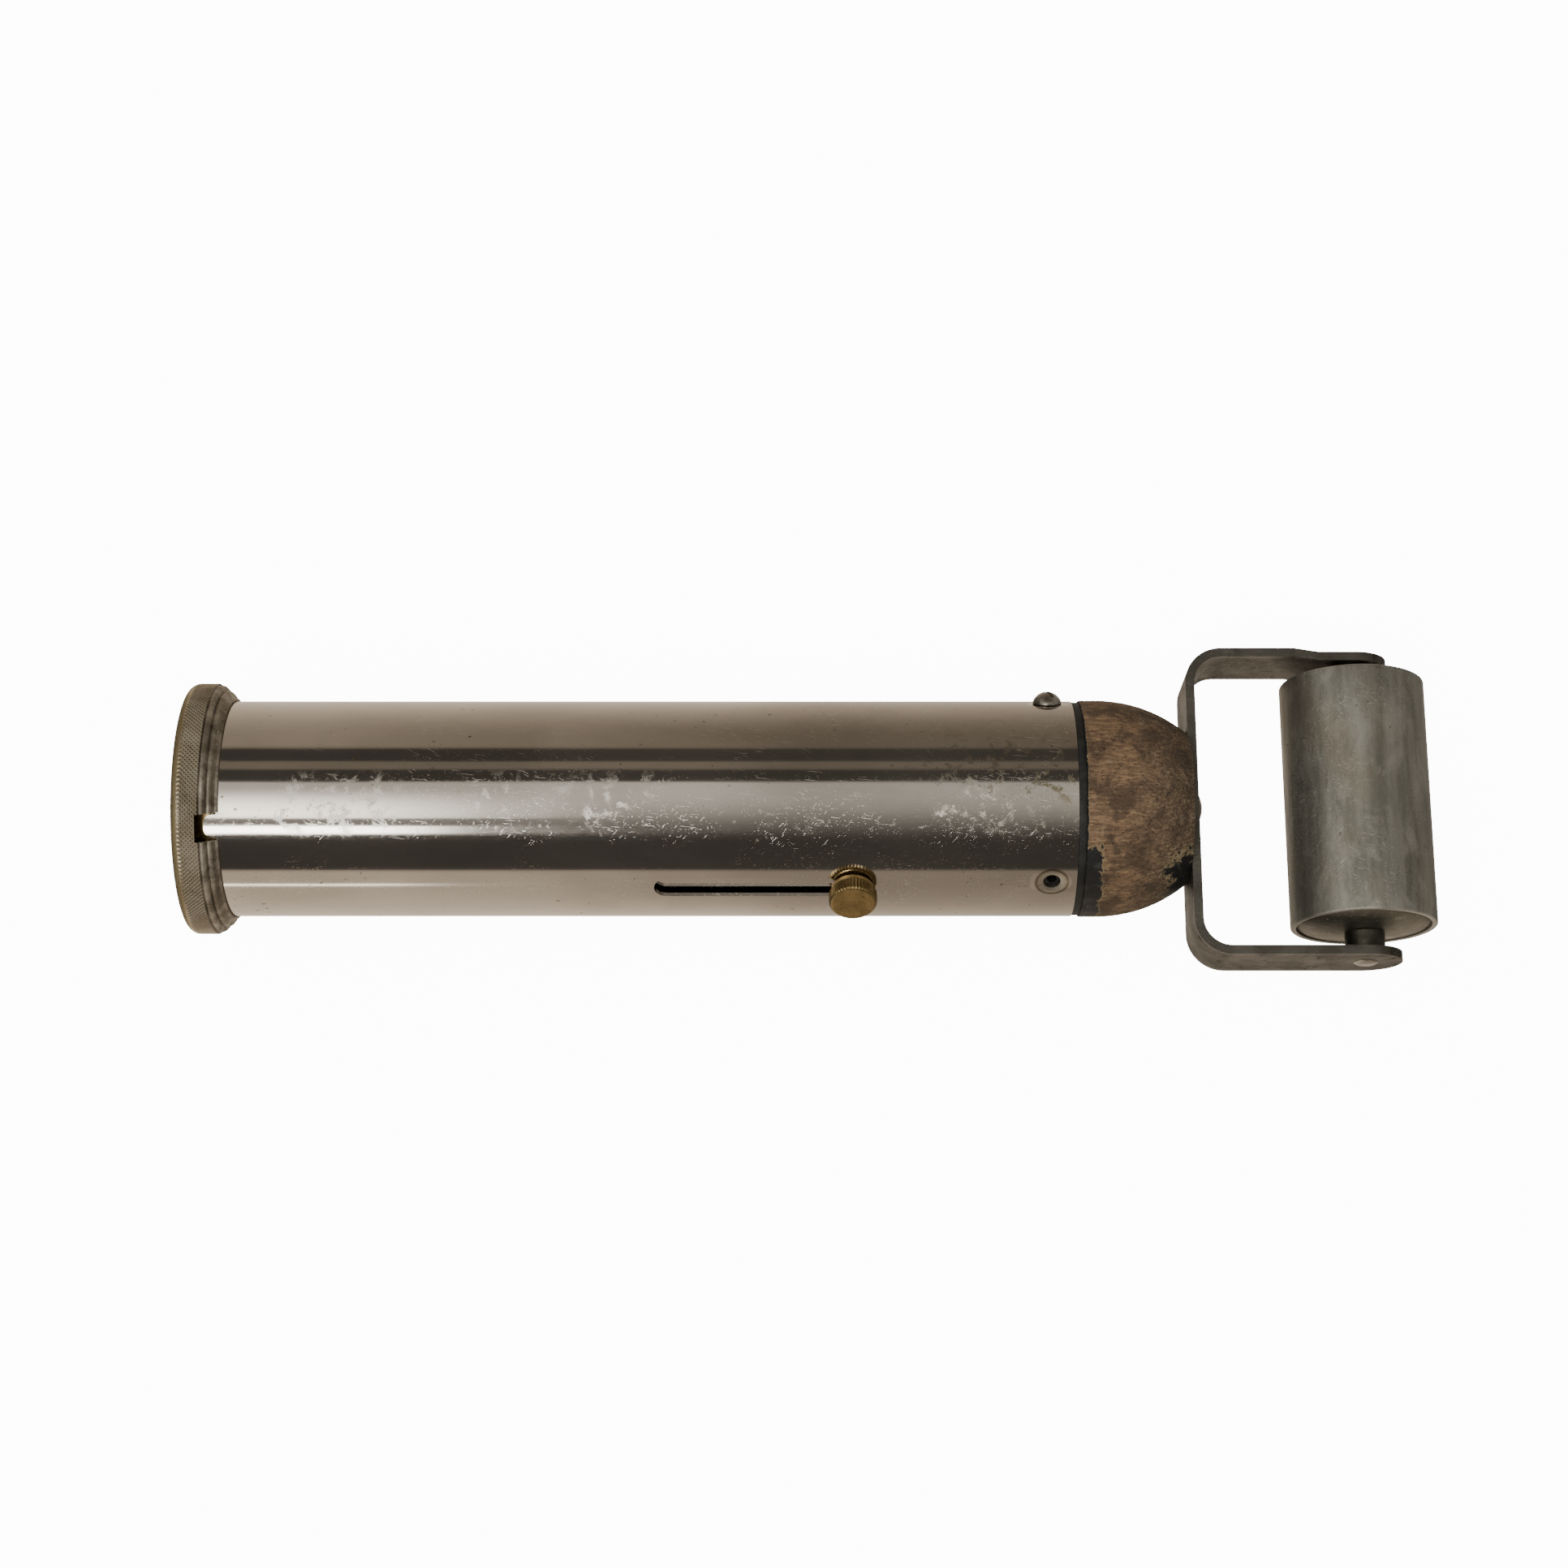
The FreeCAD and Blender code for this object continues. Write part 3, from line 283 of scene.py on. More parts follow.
def woodFinish(shoulderX, frontX):
    # bare turned wood: grain along the tube, end grain on the dome, flakes left of a black paint
    look = {"pale": (0.20, 0.125, 0.066), "brown": (0.092, 0.055, 0.028), "dark": (0.026, 0.018, 0.011),
            "grey": (0.185, 0.15, 0.105), "paint": (0.004, 0.004, 0.004)}
    finish = Finish("bareWood")
    x, y, z = finish.parts()
    across = x.fade(shoulderX + 5.0, frontX - 2.0)
    fibres = finish.noise(0.42, 4.0, 0.6, 0.2, (0.16, 1, 1))
    pores = finish.noise(0.30, 3.0, 0.6, 0.0, (0.5, 1, 1)).fade(0.60, 0.70)
    rings = (finish.noise(9.0, 2.0, 0.5, 0.6, (0.25, 1, 1)) * 60.0).maths("SINE").fade(-1.0, 1.0)
    speckle = finish.noise(0.55, 4.0, 0.75).fade(0.42, 0.62)
    grain = finish.mix(fibres.fade(0.36, 0.66), look["brown"], look["pale"])
    grain = finish.mix(rings * 0.35, grain, look["brown"])
    endGrain = finish.mix(speckle, look["dark"], (0.125, 0.092, 0.055))
    base = finish.mix(across * 0.75, grain, endGrain)
    base = finish.mix(pores * 0.7, base, look["dark"])
    grime = finish.noise(5.0, 6.0, 0.70, 0.5).fade(0.42, 0.62)
    base = finish.mix(grime * 0.7, base, look["dark"])
    dust = finish.noise(2.4, 5.0, 0.7).fade(0.60, 0.70)
    base = finish.mix(dust * 0.5, base, look["grey"])
    # flakes of paint are left round the ring, low on the shoulder and by the fork's foot
    shoulder = x.fade(shoulderX + 4.5, shoulderX + 1.5) * y.fade(-4.0, -9.0)
    underside = z.fade(6.0, -8.0)
    foot = x.fade(frontX - 8.0, frontX - 2.0) * y.fade(-3.5, -9.5)
    collar = x.fade(shoulderX + 0.5, shoulderX + 0.05) * 0.8
    hold = (shoulder * 1.05).maths("MAXIMUM", underside).maths("MAXIMUM", foot).maths("MAXIMUM", collar)
    ragged = finish.noise(3.2, 7.0, 0.70, 0.6) + finish.noise(0.7, 2.0, 0.5) * 0.14
    paint = (ragged + hold * 0.36).fade(0.785, 0.80)
    rim = (ragged + hold * 0.36).near(0.765, 0.035)
    base = finish.mix(rim * 0.55, base, (0.27, 0.22, 0.12))
    worn = finish.noise(2.0, 4.0, 0.6)
    coat = finish.mix(worn.fade(0.5, 0.8), look["paint"], (0.03, 0.029, 0.026))
    base = finish.mix(paint, base, coat)
    rough = finish.shade(paint, 0.80, 0.50) + grime * 0.08 + worn * paint * 0.2
    finish.feed(Base_Color=base, Roughness=rough)
    finish.raise_(fibres * (1 - paint), 0.10)
    finish.raise_(1 - pores * (1 - paint), 0.12)
    finish.raise_(paint, 0.16)
    finish.raise_(finish.noise(3.0, 3.0, 0.5), 0.25)
    return finish.done()


def steelFinish(name, plain, bright, dark, rough, turn=0.0, edgeAt=None, drawn=(1, 1, 1)):
    # worn steel: drawn lines, darker stains, and bright metal where the edges have rubbed
    finish = Finish(name, Metallic=1.0)
    point = finish.rolled(turn)
    z = finish.parts(point)[2]
    lines = finish.noise(0.5, 3.0, 0.6, 0.0, drawn, point)
    patina = finish.noise(7.0, 5.0, 0.62, 0.4, (1, 1, 1), point)
    stain = finish.noise(2.4, 5.0, 0.7, 0.2).fade(0.56, 0.70)
    base = finish.mix(patina.fade(0.36, 0.66), dark, plain)
    base = finish.mix(stain * 0.55, base, tuple(part * 0.45 for part in dark))
    scratch = finish.scratches(0.73)
    wear = scratch * 0.6
    if edgeAt:
        rub = (z.maths("ABSOLUTE") + patina * 0.9).fade(edgeAt + 0.12, edgeAt + 0.55)
        wear = wear.maths("MAXIMUM", rub * 0.25)
    base = finish.mix(wear * 0.8, base, bright)
    finish.feed(Base_Color=base, Roughness=finish.shade(patina, rough + 0.1, rough - 0.05)
                + lines * 0.08 + stain * 0.18 - wear * 0.08)
    finish.raise_(lines, 0.02)
    finish.raise_(1 - scratch, 0.02)
    finish.raise_(finish.noise(5.0, 3.0, 0.5), 0.08)
    return finish.done()


def zincFinish(name, dirt=0.0):
    # dull rolled zinc: smudges along the roller, a warm stain, rubbed rims
    look = {"plain": (0.34, 0.335, 0.30), "light": (0.46, 0.45, 0.41), "dark": (0.21, 0.205, 0.175),
            "warm": (0.30, 0.25, 0.185)}
    finish = Finish(name, Metallic=0.92)
    point = finish.rolled(yokeRoll)
    y = finish.parts(point)[1]
    smear = finish.noise(3.4, 4.0, 0.6, 0.2, (1, 0.14, 1), point)
    mottle = finish.noise(4.5, 5.0, 0.65, 0.3, (1, 0.6, 1), point)
    fine = finish.noise(0.5, 3.0, 0.6, 0.0, (1, 0.25, 1), point)
    base = finish.mix(smear.fade(0.34, 0.66), look["dark"], look["plain"])
    base = finish.mix(mottle.fade(0.46, 0.70) * 0.55, base, look["light"])
    warmth = finish.noise(11.0, 3.0, 0.5, 0.0, (1, 0.6, 1), point).fade(0.48, 0.66)
    base = finish.mix(warmth * 0.35, base, look["warm"])
    spots = finish.cells(1.9).fade(0.22, 0.06) * finish.noise(7.0, 3.0, 0.6).fade(0.50, 0.64)
    base = finish.mix(spots * 0.6, base, (0.09, 0.085, 0.07))
    base = finish.mix(mottle.fade(0.15, 0.5) * dirt, base, (0.125, 0.116, 0.082))
    ends = (y - 0.6).maths("ABSOLUTE") + mottle * 0.5
    rub = ends.fade(22.15, 22.5) * (1 - dirt)
    base = finish.mix(rub * 0.65, base, look["light"])
    scratch = finish.scratches(0.73, 1.3)
    base = finish.mix(scratch * 0.4, base, (0.62, 0.62, 0.58))
    finish.feed(Base_Color=base, Roughness=finish.shade(smear, 0.52, 0.38) + mottle * 0.1 + spots * 0.15)
    finish.raise_(fine, 0.02)
    finish.raise_(mottle, 0.10)
    finish.raise_(1 - scratch, 0.010)
    return finish.done()


def fibreFinish(name, plain, worn, rough):
    finish = Finish(name)
    mottle = finish.noise(2.6, 4.0, 0.6, 0.3)
    fine = finish.noise(0.3, 3.0, 0.6)
    base = finish.mix(mottle.fade(0.38, 0.68), plain, worn)
    finish.feed(Base_Color=base, Roughness=finish.shade(mottle, rough - 0.08, rough + 0.1))
    finish.raise_(fine, 0.03)
    return finish.done()


def cardFinish(name, plain, dark, fibreSize):
    finish = Finish(name)
    fibres = finish.noise(fibreSize, 4.0, 0.65, 0.8, (0.4, 1, 1))
    blots = finish.noise(6.0, 4.0, 0.6, 0.4)
    base = finish.mix(fibres.fade(0.35, 0.7), dark, plain)
    base = finish.mix(blots.fade(0.52, 0.72) * 0.5, base, dark)
    finish.feed(Base_Color=base, Roughness=finish.shade(fibres, 0.82, 0.7))
    finish.raise_(fibres, 0.05)
    return finish.done()


def wireFinish(name, plain, dark, pitch, metallic):
    # close turns of wire: round ridges along X, with the colour darkened in the troughs between turns as painted shade
    finish = Finish(name, Metallic=metallic)
    x = finish.parts()[0]
    ridge = (x * (2 * math.pi / pitch)).maths("SINE").fade(-1.0, 1.0)
    shade = finish.noise(3.0, 4.0, 0.6)
    # darker in the troughs between the turns: painted shade
    base = finish.mix(ridge, dark, plain)
    base = finish.mix(shade.fade(0.45, 0.75) * 0.4, base, dark)
    finish.feed(Base_Color=base, Roughness=finish.shade(shade, 0.30, 0.48))
    finish.raise_(ridge, pitch * 0.35)
    return finish.done()


# ---- modelling by operators

def deselectAll():
    if bpy.context.object and bpy.context.object.mode != "OBJECT":
        bpy.ops.object.mode_set(mode="OBJECT")
    bpy.ops.object.select_all(action="DESELECT")


def pickOnly(piece):
    deselectAll()
    piece.select_set(True)
    bpy.context.view_layer.objects.active = piece


def applyPlace(piece):
    pickOnly(piece)
    bpy.ops.object.transform_apply(location=True, rotation=True, scale=True)


def settle(piece, axis="X", turn=0.0, x=0.0):
    # a piece made along Z is stood along its own axis, then turned about X and moved along it
    stand = {"X": Matrix.Rotation(math.pi / 2, 4, "Y"), "Y": Matrix.Rotation(-math.pi / 2, 4, "X"),
             "Z": Matrix.Identity(4)}[axis]
    piece.matrix_world = Matrix.Translation((x, 0, 0)) @ Matrix.Rotation(turn, 4, "X") @ stand
    applyPlace(piece)
    return piece


def lathe(name, rings, segments=96, joinEnds=False):
    # rings are (place along Z, radius) in millimetres; each one is extruded from the last and scaled
    opens = rings[0][1] == 0
    stations = rings[1:] if opens else rings
    deselectAll()
    bpy.ops.mesh.primitive_circle_add(vertices=segments, radius=stations[0][1] * mm,
                                      location=(0, 0, stations[0][0] * mm))
    piece = bpy.context.object
    piece.name = name
    applyPlace(piece)
    bpy.ops.object.mode_set(mode="EDIT")
    bpy.ops.mesh.select_mode(type="VERT")
    bpy.ops.mesh.select_all(action="SELECT")
    for (fromZ, fromRadius), (toZ, toRadius) in zip(stations, stations[1:]):
        bpy.ops.mesh.extrude_edges_move(TRANSFORM_OT_translate={"value": (0, 0, (toZ - fromZ) * mm)})
        if toRadius == 0:
            bpy.ops.mesh.merge(type="CENTER")
        else:
            grow = toRadius / fromRadius
            bpy.ops.transform.resize(value=(grow, grow, 1), center_override=(0, 0, toZ * mm))
    if opens:
        bpy.ops.mesh.select_all(action="DESELECT")
        bpy.ops.object.mode_set(mode="OBJECT")
        for vertex in piece.data.vertices[:segments]:
            vertex.select = True
        for edge in piece.data.edges[:segments]:
            edge.select = True
        bpy.ops.object.mode_set(mode="EDIT")
        bpy.ops.mesh.extrude_edges_move(
            TRANSFORM_OT_translate={"value": (0, 0, (rings[0][0] - rings[1][0]) * mm)})
        bpy.ops.mesh.merge(type="CENTER")
    if joinEnds:
        bpy.ops.mesh.select_all(action="DESELECT")
        bpy.ops.mesh.select_non_manifold(extend=False, use_wire=False, use_boundary=True,
                                         use_multi_face=False, use_non_contiguous=False, use_verts=False)
        bpy.ops.mesh.bridge_edge_loops()
    bpy.ops.mesh.select_all(action="SELECT")
    bpy.ops.mesh.normals_make_consistent(inside=False)
    bpy.ops.object.mode_set(mode="OBJECT")
    return piece


def selectVertices(piece, test):
    pickOnly(piece)
    bpy.ops.object.mode_set(mode="EDIT")
    bpy.ops.mesh.select_mode(type="VERT")
    bpy.ops.mesh.select_all(action="DESELECT")
    bpy.ops.object.mode_set(mode="OBJECT")
    for vertex in piece.data.vertices:
        vertex.select = test(vertex.co)
    bpy.ops.object.mode_set(mode="EDIT")


def sinkTeeth(piece, teeth, low, high, radius, depth, rowHeight=None):
    # every other vertex round the rim is drawn in; with a row height the rows alternate, as a diamond knurl
    def isLow(co):
        if not (low - 1e-3 <= co.z / mm <= high + 1e-3 and math.hypot(co.x, co.y) / mm > radius - 1e-3):
            return False
        step = round(math.atan2(co.y, co.x) / (math.pi / teeth))
        row = round((co.z / mm - low) / rowHeight) if rowHeight else 0
        return (step + row) % 2 == 1
    selectVertices(piece, isLow)
    shrink = (radius - depth) / radius
    bpy.ops.transform.resize(value=(shrink, shrink, 1), center_override=(0, 0, 0))
    bpy.ops.object.mode_set(mode="OBJECT")


def box(name, low, high):
    deselectAll()
    centre = [(a + b) / 2 * mm for a, b in zip(low, high)]
    bpy.ops.mesh.primitive_cube_add(size=1, location=centre)
    piece = bpy.context.object
    piece.name = name
    piece.scale = [(b - a) * mm for a, b in zip(low, high)]
    applyPlace(piece)
    return piece


def roundedSlotCutter(start, stop, width, low, high, cornerRadius, steps=10):
    # a box along X whose upright edges are rounded
    cutter = box("cutter", (start, -width / 2, low), (stop, width / 2, high))
    pickOnly(cutter)
    bpy.ops.object.mode_set(mode="EDIT")
    bpy.ops.mesh.select_mode(type="EDGE")
    bpy.ops.mesh.select_all(action="DESELECT")
    bpy.ops.object.mode_set(mode="OBJECT")
    for edge in cutter.data.edges:
        ends = [cutter.data.vertices[index].co for index in edge.vertices]
        edge.select = abs(ends[0].z - ends[1].z) > (high - low) * mm / 2
    bpy.ops.object.mode_set(mode="EDIT")
    bpy.ops.mesh.bevel(offset=cornerRadius * mm * 0.999, segments=steps, affect="EDGES")
    bpy.ops.object.mode_set(mode="OBJECT")
    return cutter


def combine(piece, other, operation="DIFFERENCE"):
    pickOnly(piece)
    bpy.ops.object.modifier_add(type="BOOLEAN")
    modifier = piece.modifiers[-1]
    modifier.operation = operation
    modifier.solver = "EXACT"
    modifier.object = other
    bpy.ops.object.modifier_apply(modifier=modifier.name)
    bpy.data.objects.remove(other)
    return piece


def joined(pieces):
    pickOnly(pieces[0])
    for piece in pieces[1:]:
        piece.select_set(True)
    bpy.ops.object.join()
    return pieces[0]


def easeEdges(piece, width, segments=2, angle=35):
    pickOnly(piece)
    bpy.ops.object.modifier_add(type="BEVEL")
    modifier = piece.modifiers[-1]
    modifier.width = width * mm
    modifier.segments = segments
    modifier.limit_method = "ANGLE"
    modifier.angle_limit = math.radians(angle)
    modifier.use_clamp_overlap = True
    bpy.ops.object.modifier_apply(modifier=modifier.name)
    return piece


def finishPiece(piece, material, body, slot, *replaced, smoothAngle=35, sliver=0):
    pickOnly(piece)
    bpy.ops.object.mode_set(mode="EDIT")
    bpy.ops.mesh.select_all(action="SELECT")
    bpy.ops.mesh.remove_doubles(threshold=2e-6)
    if sliver:
        bpy.ops.mesh.dissolve_degenerate(threshold=sliver)
    bpy.ops.mesh.normals_make_consistent(inside=False)
    bpy.ops.object.mode_set(mode="OBJECT")
    bpy.ops.object.shade_smooth_by_angle(angle=math.radians(smoothAngle))
    piece.data.materials.clear()
    piece.data.materials.append(material)
    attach(piece, body)
    if replaced:
        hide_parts(*replaced)
    return piece


def arcRings(centreZ, centreRadius, size, fromDegrees, toDegrees, steps):
    # stations round an arc; 0 degrees points out from the axis, 90 along +Z
    stations = []
    for step in range(steps + 1):
        angle = math.radians(fromDegrees + (toDegrees - fromDegrees) * step / steps)
        stations.append((centreZ + size * math.sin(angle), centreRadius + size * math.cos(angle)))
    return stations


def buildTube(material):
    sizes = {"wall": 0.8, "segments": 288, "slotWidth": 4.5, "slotEndRoom": 2.3, "travel": 32.1,
             "tongueWidth": 4.2, "tongueTurn": 8.5, "tongueLength": 2.1, "screwHole": 1.5, "dish": 2.55,
             "dishDepth": 0.3, "edge": 0.12}
    low, high = span("case_tube", alongX)
    tip, front = low / mm, high / mm
    rear = tip + sizes["tongueLength"]
    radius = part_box("case_tube")[1].y / mm
    bore = radius - sizes["wall"]
    slotFront = nutX / mm + sizes["slotEndRoom"]
    slotRear = nutX / mm - sizes["travel"] - sizes["slotEndRoom"]
    stations = [tip - 1, rear + 3, slotRear - 2, slotFront + 2, screwX / mm - 4, front]
    rings = [(place, radius) for place in stations] + [(place, bore) for place in reversed(stations)]
    tube = lathe("caseTube", rings, sizes["segments"], joinEnds=True)
    settle(tube)
    # everything behind the rear edge is cut away but the round-ended tongue
    waste = lathe("waste", [(tip - 2, bore - 1), (tip - 2, radius + 1), (rear, radius + 1), (rear, bore - 1)],
                  96, joinEnds=True)
    settle(waste)
    keep = roundedSlotCutter(tip, rear + 6, sizes["tongueWidth"], 5, radius + 3,
                             sizes["tongueWidth"] / 2 * 0.8)
    settle(keep, "Z", math.radians(sizes["tongueTurn"]))
    cutters = [combine(waste, keep)]
    slot = roundedSlotCutter(slotRear, slotFront, sizes["slotWidth"], 5, radius + 3, sizes["slotWidth"] / 2)
    cutters.append(settle(slot, "Z", slotTurn))
    for third in (-120, 0, 120):
        hole = lathe("hole", [(5, 0), (5, sizes["screwHole"]), (radius - sizes["dishDepth"], sizes["screwHole"]),
                              (radius + 0.06, sizes["dish"]), (radius + 1, sizes["dish"]), (radius + 1, 0)], 40)
        cutters.append(settle(hole, "Z", math.radians(screwTurn + third), screwX))
    combine(tube, joined(cutters))
    easeEdges(tube, sizes["edge"], 2, 40)
    return finishPiece(tube, material, "case", "nickel", "case_tube")


def buildCap(material):
    sizes = {"teeth": 180, "rows": 8, "knurlDepth": 0.17, "edge": 1.7, "rimFront": 4.8, "bead": 0.62,
             "wall": 0.9, "lipWall": 0.45, "notchWidth": 4.8, "notchFrom": 4.3}
    front = span("cap_shell", alongX)[1] / mm
    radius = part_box("cap_shell")[1].z / mm
    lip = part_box("case_tube")[1].y / mm + 0.1
    edge, bead, rim = sizes["edge"], sizes["bead"], sizes["rimFront"]
    rowHeight = (rim - edge) / sizes["rows"]
    rings = [(0, 0), (0, 6), (0, 12), (0, radius - edge)]
    rings += arcRings(edge, radius - edge, edge, -75, -15, 4)
    rings += [(edge + rowHeight * row, radius) for row in range(sizes["rows"] + 1)]
    rings += [(rim + 0.08, radius - 0.25)]
    rings += arcRings(rim + 0.55, radius - 0.95, bead, -40, 95, 7)
    rings += arcRings(rim + 1.62, radius - 1.92, bead, -35, 95, 7)
    rings += [(front - 0.45, lip + sizes["lipWall"] + 0.12), (front, lip + sizes["lipWall"]), (front, lip),
              (front - 0.5, lip), (rim - sizes["wall"] / 2, radius - sizes["wall"]),
              (edge, radius - sizes["wall"]), (sizes["wall"], radius - edge), (sizes["wall"], 0)]
    cap = lathe("capShell", rings, sizes["teeth"] * 2)
    sinkTeeth(cap, sizes["teeth"], edge, rim, radius, sizes["knurlDepth"], rowHeight)
    # the rim's squares are split along their crests, so that the cuts cross as diamonds
    selectVertices(cap, lambda co: (edge - 1e-3 <= co.z / mm <= rim + 0.1
                                    and math.hypot(co.x, co.y) / mm > radius - 0.5))
    bpy.ops.mesh.quads_convert_to_tris(quad_method="LONGEST_DIAGONAL")
    bpy.ops.object.mode_set(mode="OBJECT")
    settle(cap)
    notch = box("notch", (sizes["notchFrom"], -sizes["notchWidth"] / 2, 8),
                (front + 1, sizes["notchWidth"] / 2, radius + 2))
    settle(notch, "Z", math.radians(8.5))
    combine(cap, notch)
    return finishPiece(cap, material, "end_cap", "cap_metal", "cap_shell", smoothAngle=20)


def buildNut(material):
    sizes = {"teeth": 44, "toothDepth": 0.20, "edge": 0.35, "faceDip": 0.05, "bore": 1.3, "boreDepth": 1.9}
    low, high = (reach / mm for reach in span("thumb_nut", nutAxis))
    radius = span("thumb_nut", alongX)[1] / mm - nutX / mm
    edge = sizes["edge"]
    rings = [(low, sizes["bore"]), (low, radius - edge * 1.6), (low + edge, radius), (high - edge, radius),
             (high - 0.08, radius - edge * 0.9), (high, radius - edge * 1.5),
             (high, radius - edge * 2.2), (high - sizes["faceDip"], radius * 0.45), (high - sizes["faceDip"], 0)]
    nut = lathe("thumbNut", rings, sizes["teeth"] * 2)
    selectVertices(nut, lambda co: co.z / mm < low + 1e-3 and math.hypot(co.x, co.y) / mm < sizes["bore"] + 1e-3)
    bpy.ops.mesh.select_mode(type="EDGE")
    bpy.ops.mesh.extrude_edges_move(TRANSFORM_OT_translate={"value": (0, 0, sizes["boreDepth"] * mm)})
    bpy.ops.mesh.edge_face_add()
    bpy.ops.object.mode_set(mode="OBJECT")
    sinkTeeth(nut, sizes["teeth"], low + edge, high - edge, radius, sizes["toothDepth"])
    settle(nut, "Z", slotTurn, nutX)
    return finishPiece(nut, material, "nut", "brass", "thumb_nut", smoothAngle=20)


def buildNose(material):
    sizes = {"straight": 3.2, "curve": 25.0, "steps": 26, "hole": 1.75, "recess": 6.2, "recessDepth": 5.0,
             "pilot": 0.9, "segments": 144}
    low, high = (reach / mm for reach in span("nose_dome", alongX))
    shoulder = span("insulating_ring", alongX)[1] / mm
    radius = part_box("nose_dome")[1].y / mm
    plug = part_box("case_tube")[1].y / mm - 0.9
    curve, bend = sizes["curve"], shoulder + sizes["straight"]
    steepest = math.degrees(math.asin((high - bend) / curve))
    rings = [(low, sizes["recess"]), (low, plug), (shoulder, plug), (shoulder, radius - 0.15),
             (shoulder + 0.12, radius - 0.02), (shoulder + 0.5, radius)]
    rings += arcRings(bend, radius - curve, curve, 0, steepest, sizes["steps"])
    rings += [(high, sizes["hole"]), (low + sizes["recessDepth"], sizes["hole"]),
              (low + sizes["recessDepth"], sizes["recess"])]
    nose = lathe("noseDome", rings, sizes["segments"], joinEnds=True)
    settle(nose)
    pilot = lathe("pilot", [(9, 0), (9, sizes["pilot"]), (24, sizes["pilot"]), (24, 0)], 24)
    settle(pilot, "Z", math.radians(screwTurn), screwX)
    combine(nose, pilot)
    return finishPiece(nose, material, "case", "wood", "nose_dome")


def headRings(seat, rim, rise, radius, steps=7):
    # a domed head from its seat up to the pole
    curve = (rise * rise + radius * radius) / (2 * rise)
    centre = seat + rim + rise - curve
    start = math.degrees(math.asin((curve - rise) / curve))
    return [(seat, radius)] + arcRings(centre, 0, curve, start, 90, steps)[:-1] + [(seat + rim + rise, 0)]


def cutDriverSlot(piece, top, width, depth, reach):
    slot = box("driver", (-width / 2, -reach, top - depth), (width / 2, reach, top + 1))
    return combine(piece, slot)


def buildNoseScrews(material):
    sizes = {"head": 2.5, "rim": 0.3, "rise": 1.7, "shank": 0.9, "length": 7.0, "slot": 0.65, "slotDepth": 0.75}
    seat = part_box("case_tube")[1].y / mm
    for letter, turn, slotAngle in (("A", screwTurn - 120, 0.5), ("B", screwTurn + 120, 1.3)):
        rings = [(seat - sizes["length"], 0), (seat - sizes["length"] + 1.2, sizes["shank"]),
                 (seat, sizes["shank"])] + headRings(seat, sizes["rim"], sizes["rise"], sizes["head"])
        screw = lathe("noseScrew" + letter, rings, 48)
        cutDriverSlot(screw, seat + sizes["rim"] + sizes["rise"], sizes["slot"], sizes["slotDepth"], 3)
        screw.matrix_world = Matrix.Rotation(slotAngle, 4, "Z")
        applyPlace(screw)
        easeEdges(screw, 0.08)
        settle(screw, "Z", math.radians(turn), screwX)
        finishPiece(screw, material, "case", "screw_steel", "nose_screws")


def buildYokeScrew(material):
    sizes = {"rim": 0.3, "rise": 1.0, "slot": 0.7, "slotDepth": 0.7, "shank": 1.65}
    low, high = (reach / mm for reach in span("yoke_screw", alongX))
    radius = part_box("yoke_screw")[1].y / mm
    seat = high - sizes["rim"] - sizes["rise"]
    rings = [(low, 0), (low, sizes["shank"]), (seat, sizes["shank"])]
    rings += headRings(seat, sizes["rim"], sizes["rise"], radius)
    screw = lathe("yokeScrew", rings, 64)
    cutDriverSlot(screw, high, sizes["slot"], sizes["slotDepth"], 4)
    easeEdges(screw, 0.08)
    settle(screw, "X", 0.6)
    return finishPiece(screw, material, "case", "screw_steel", "yoke_screw", sliver=4e-6)


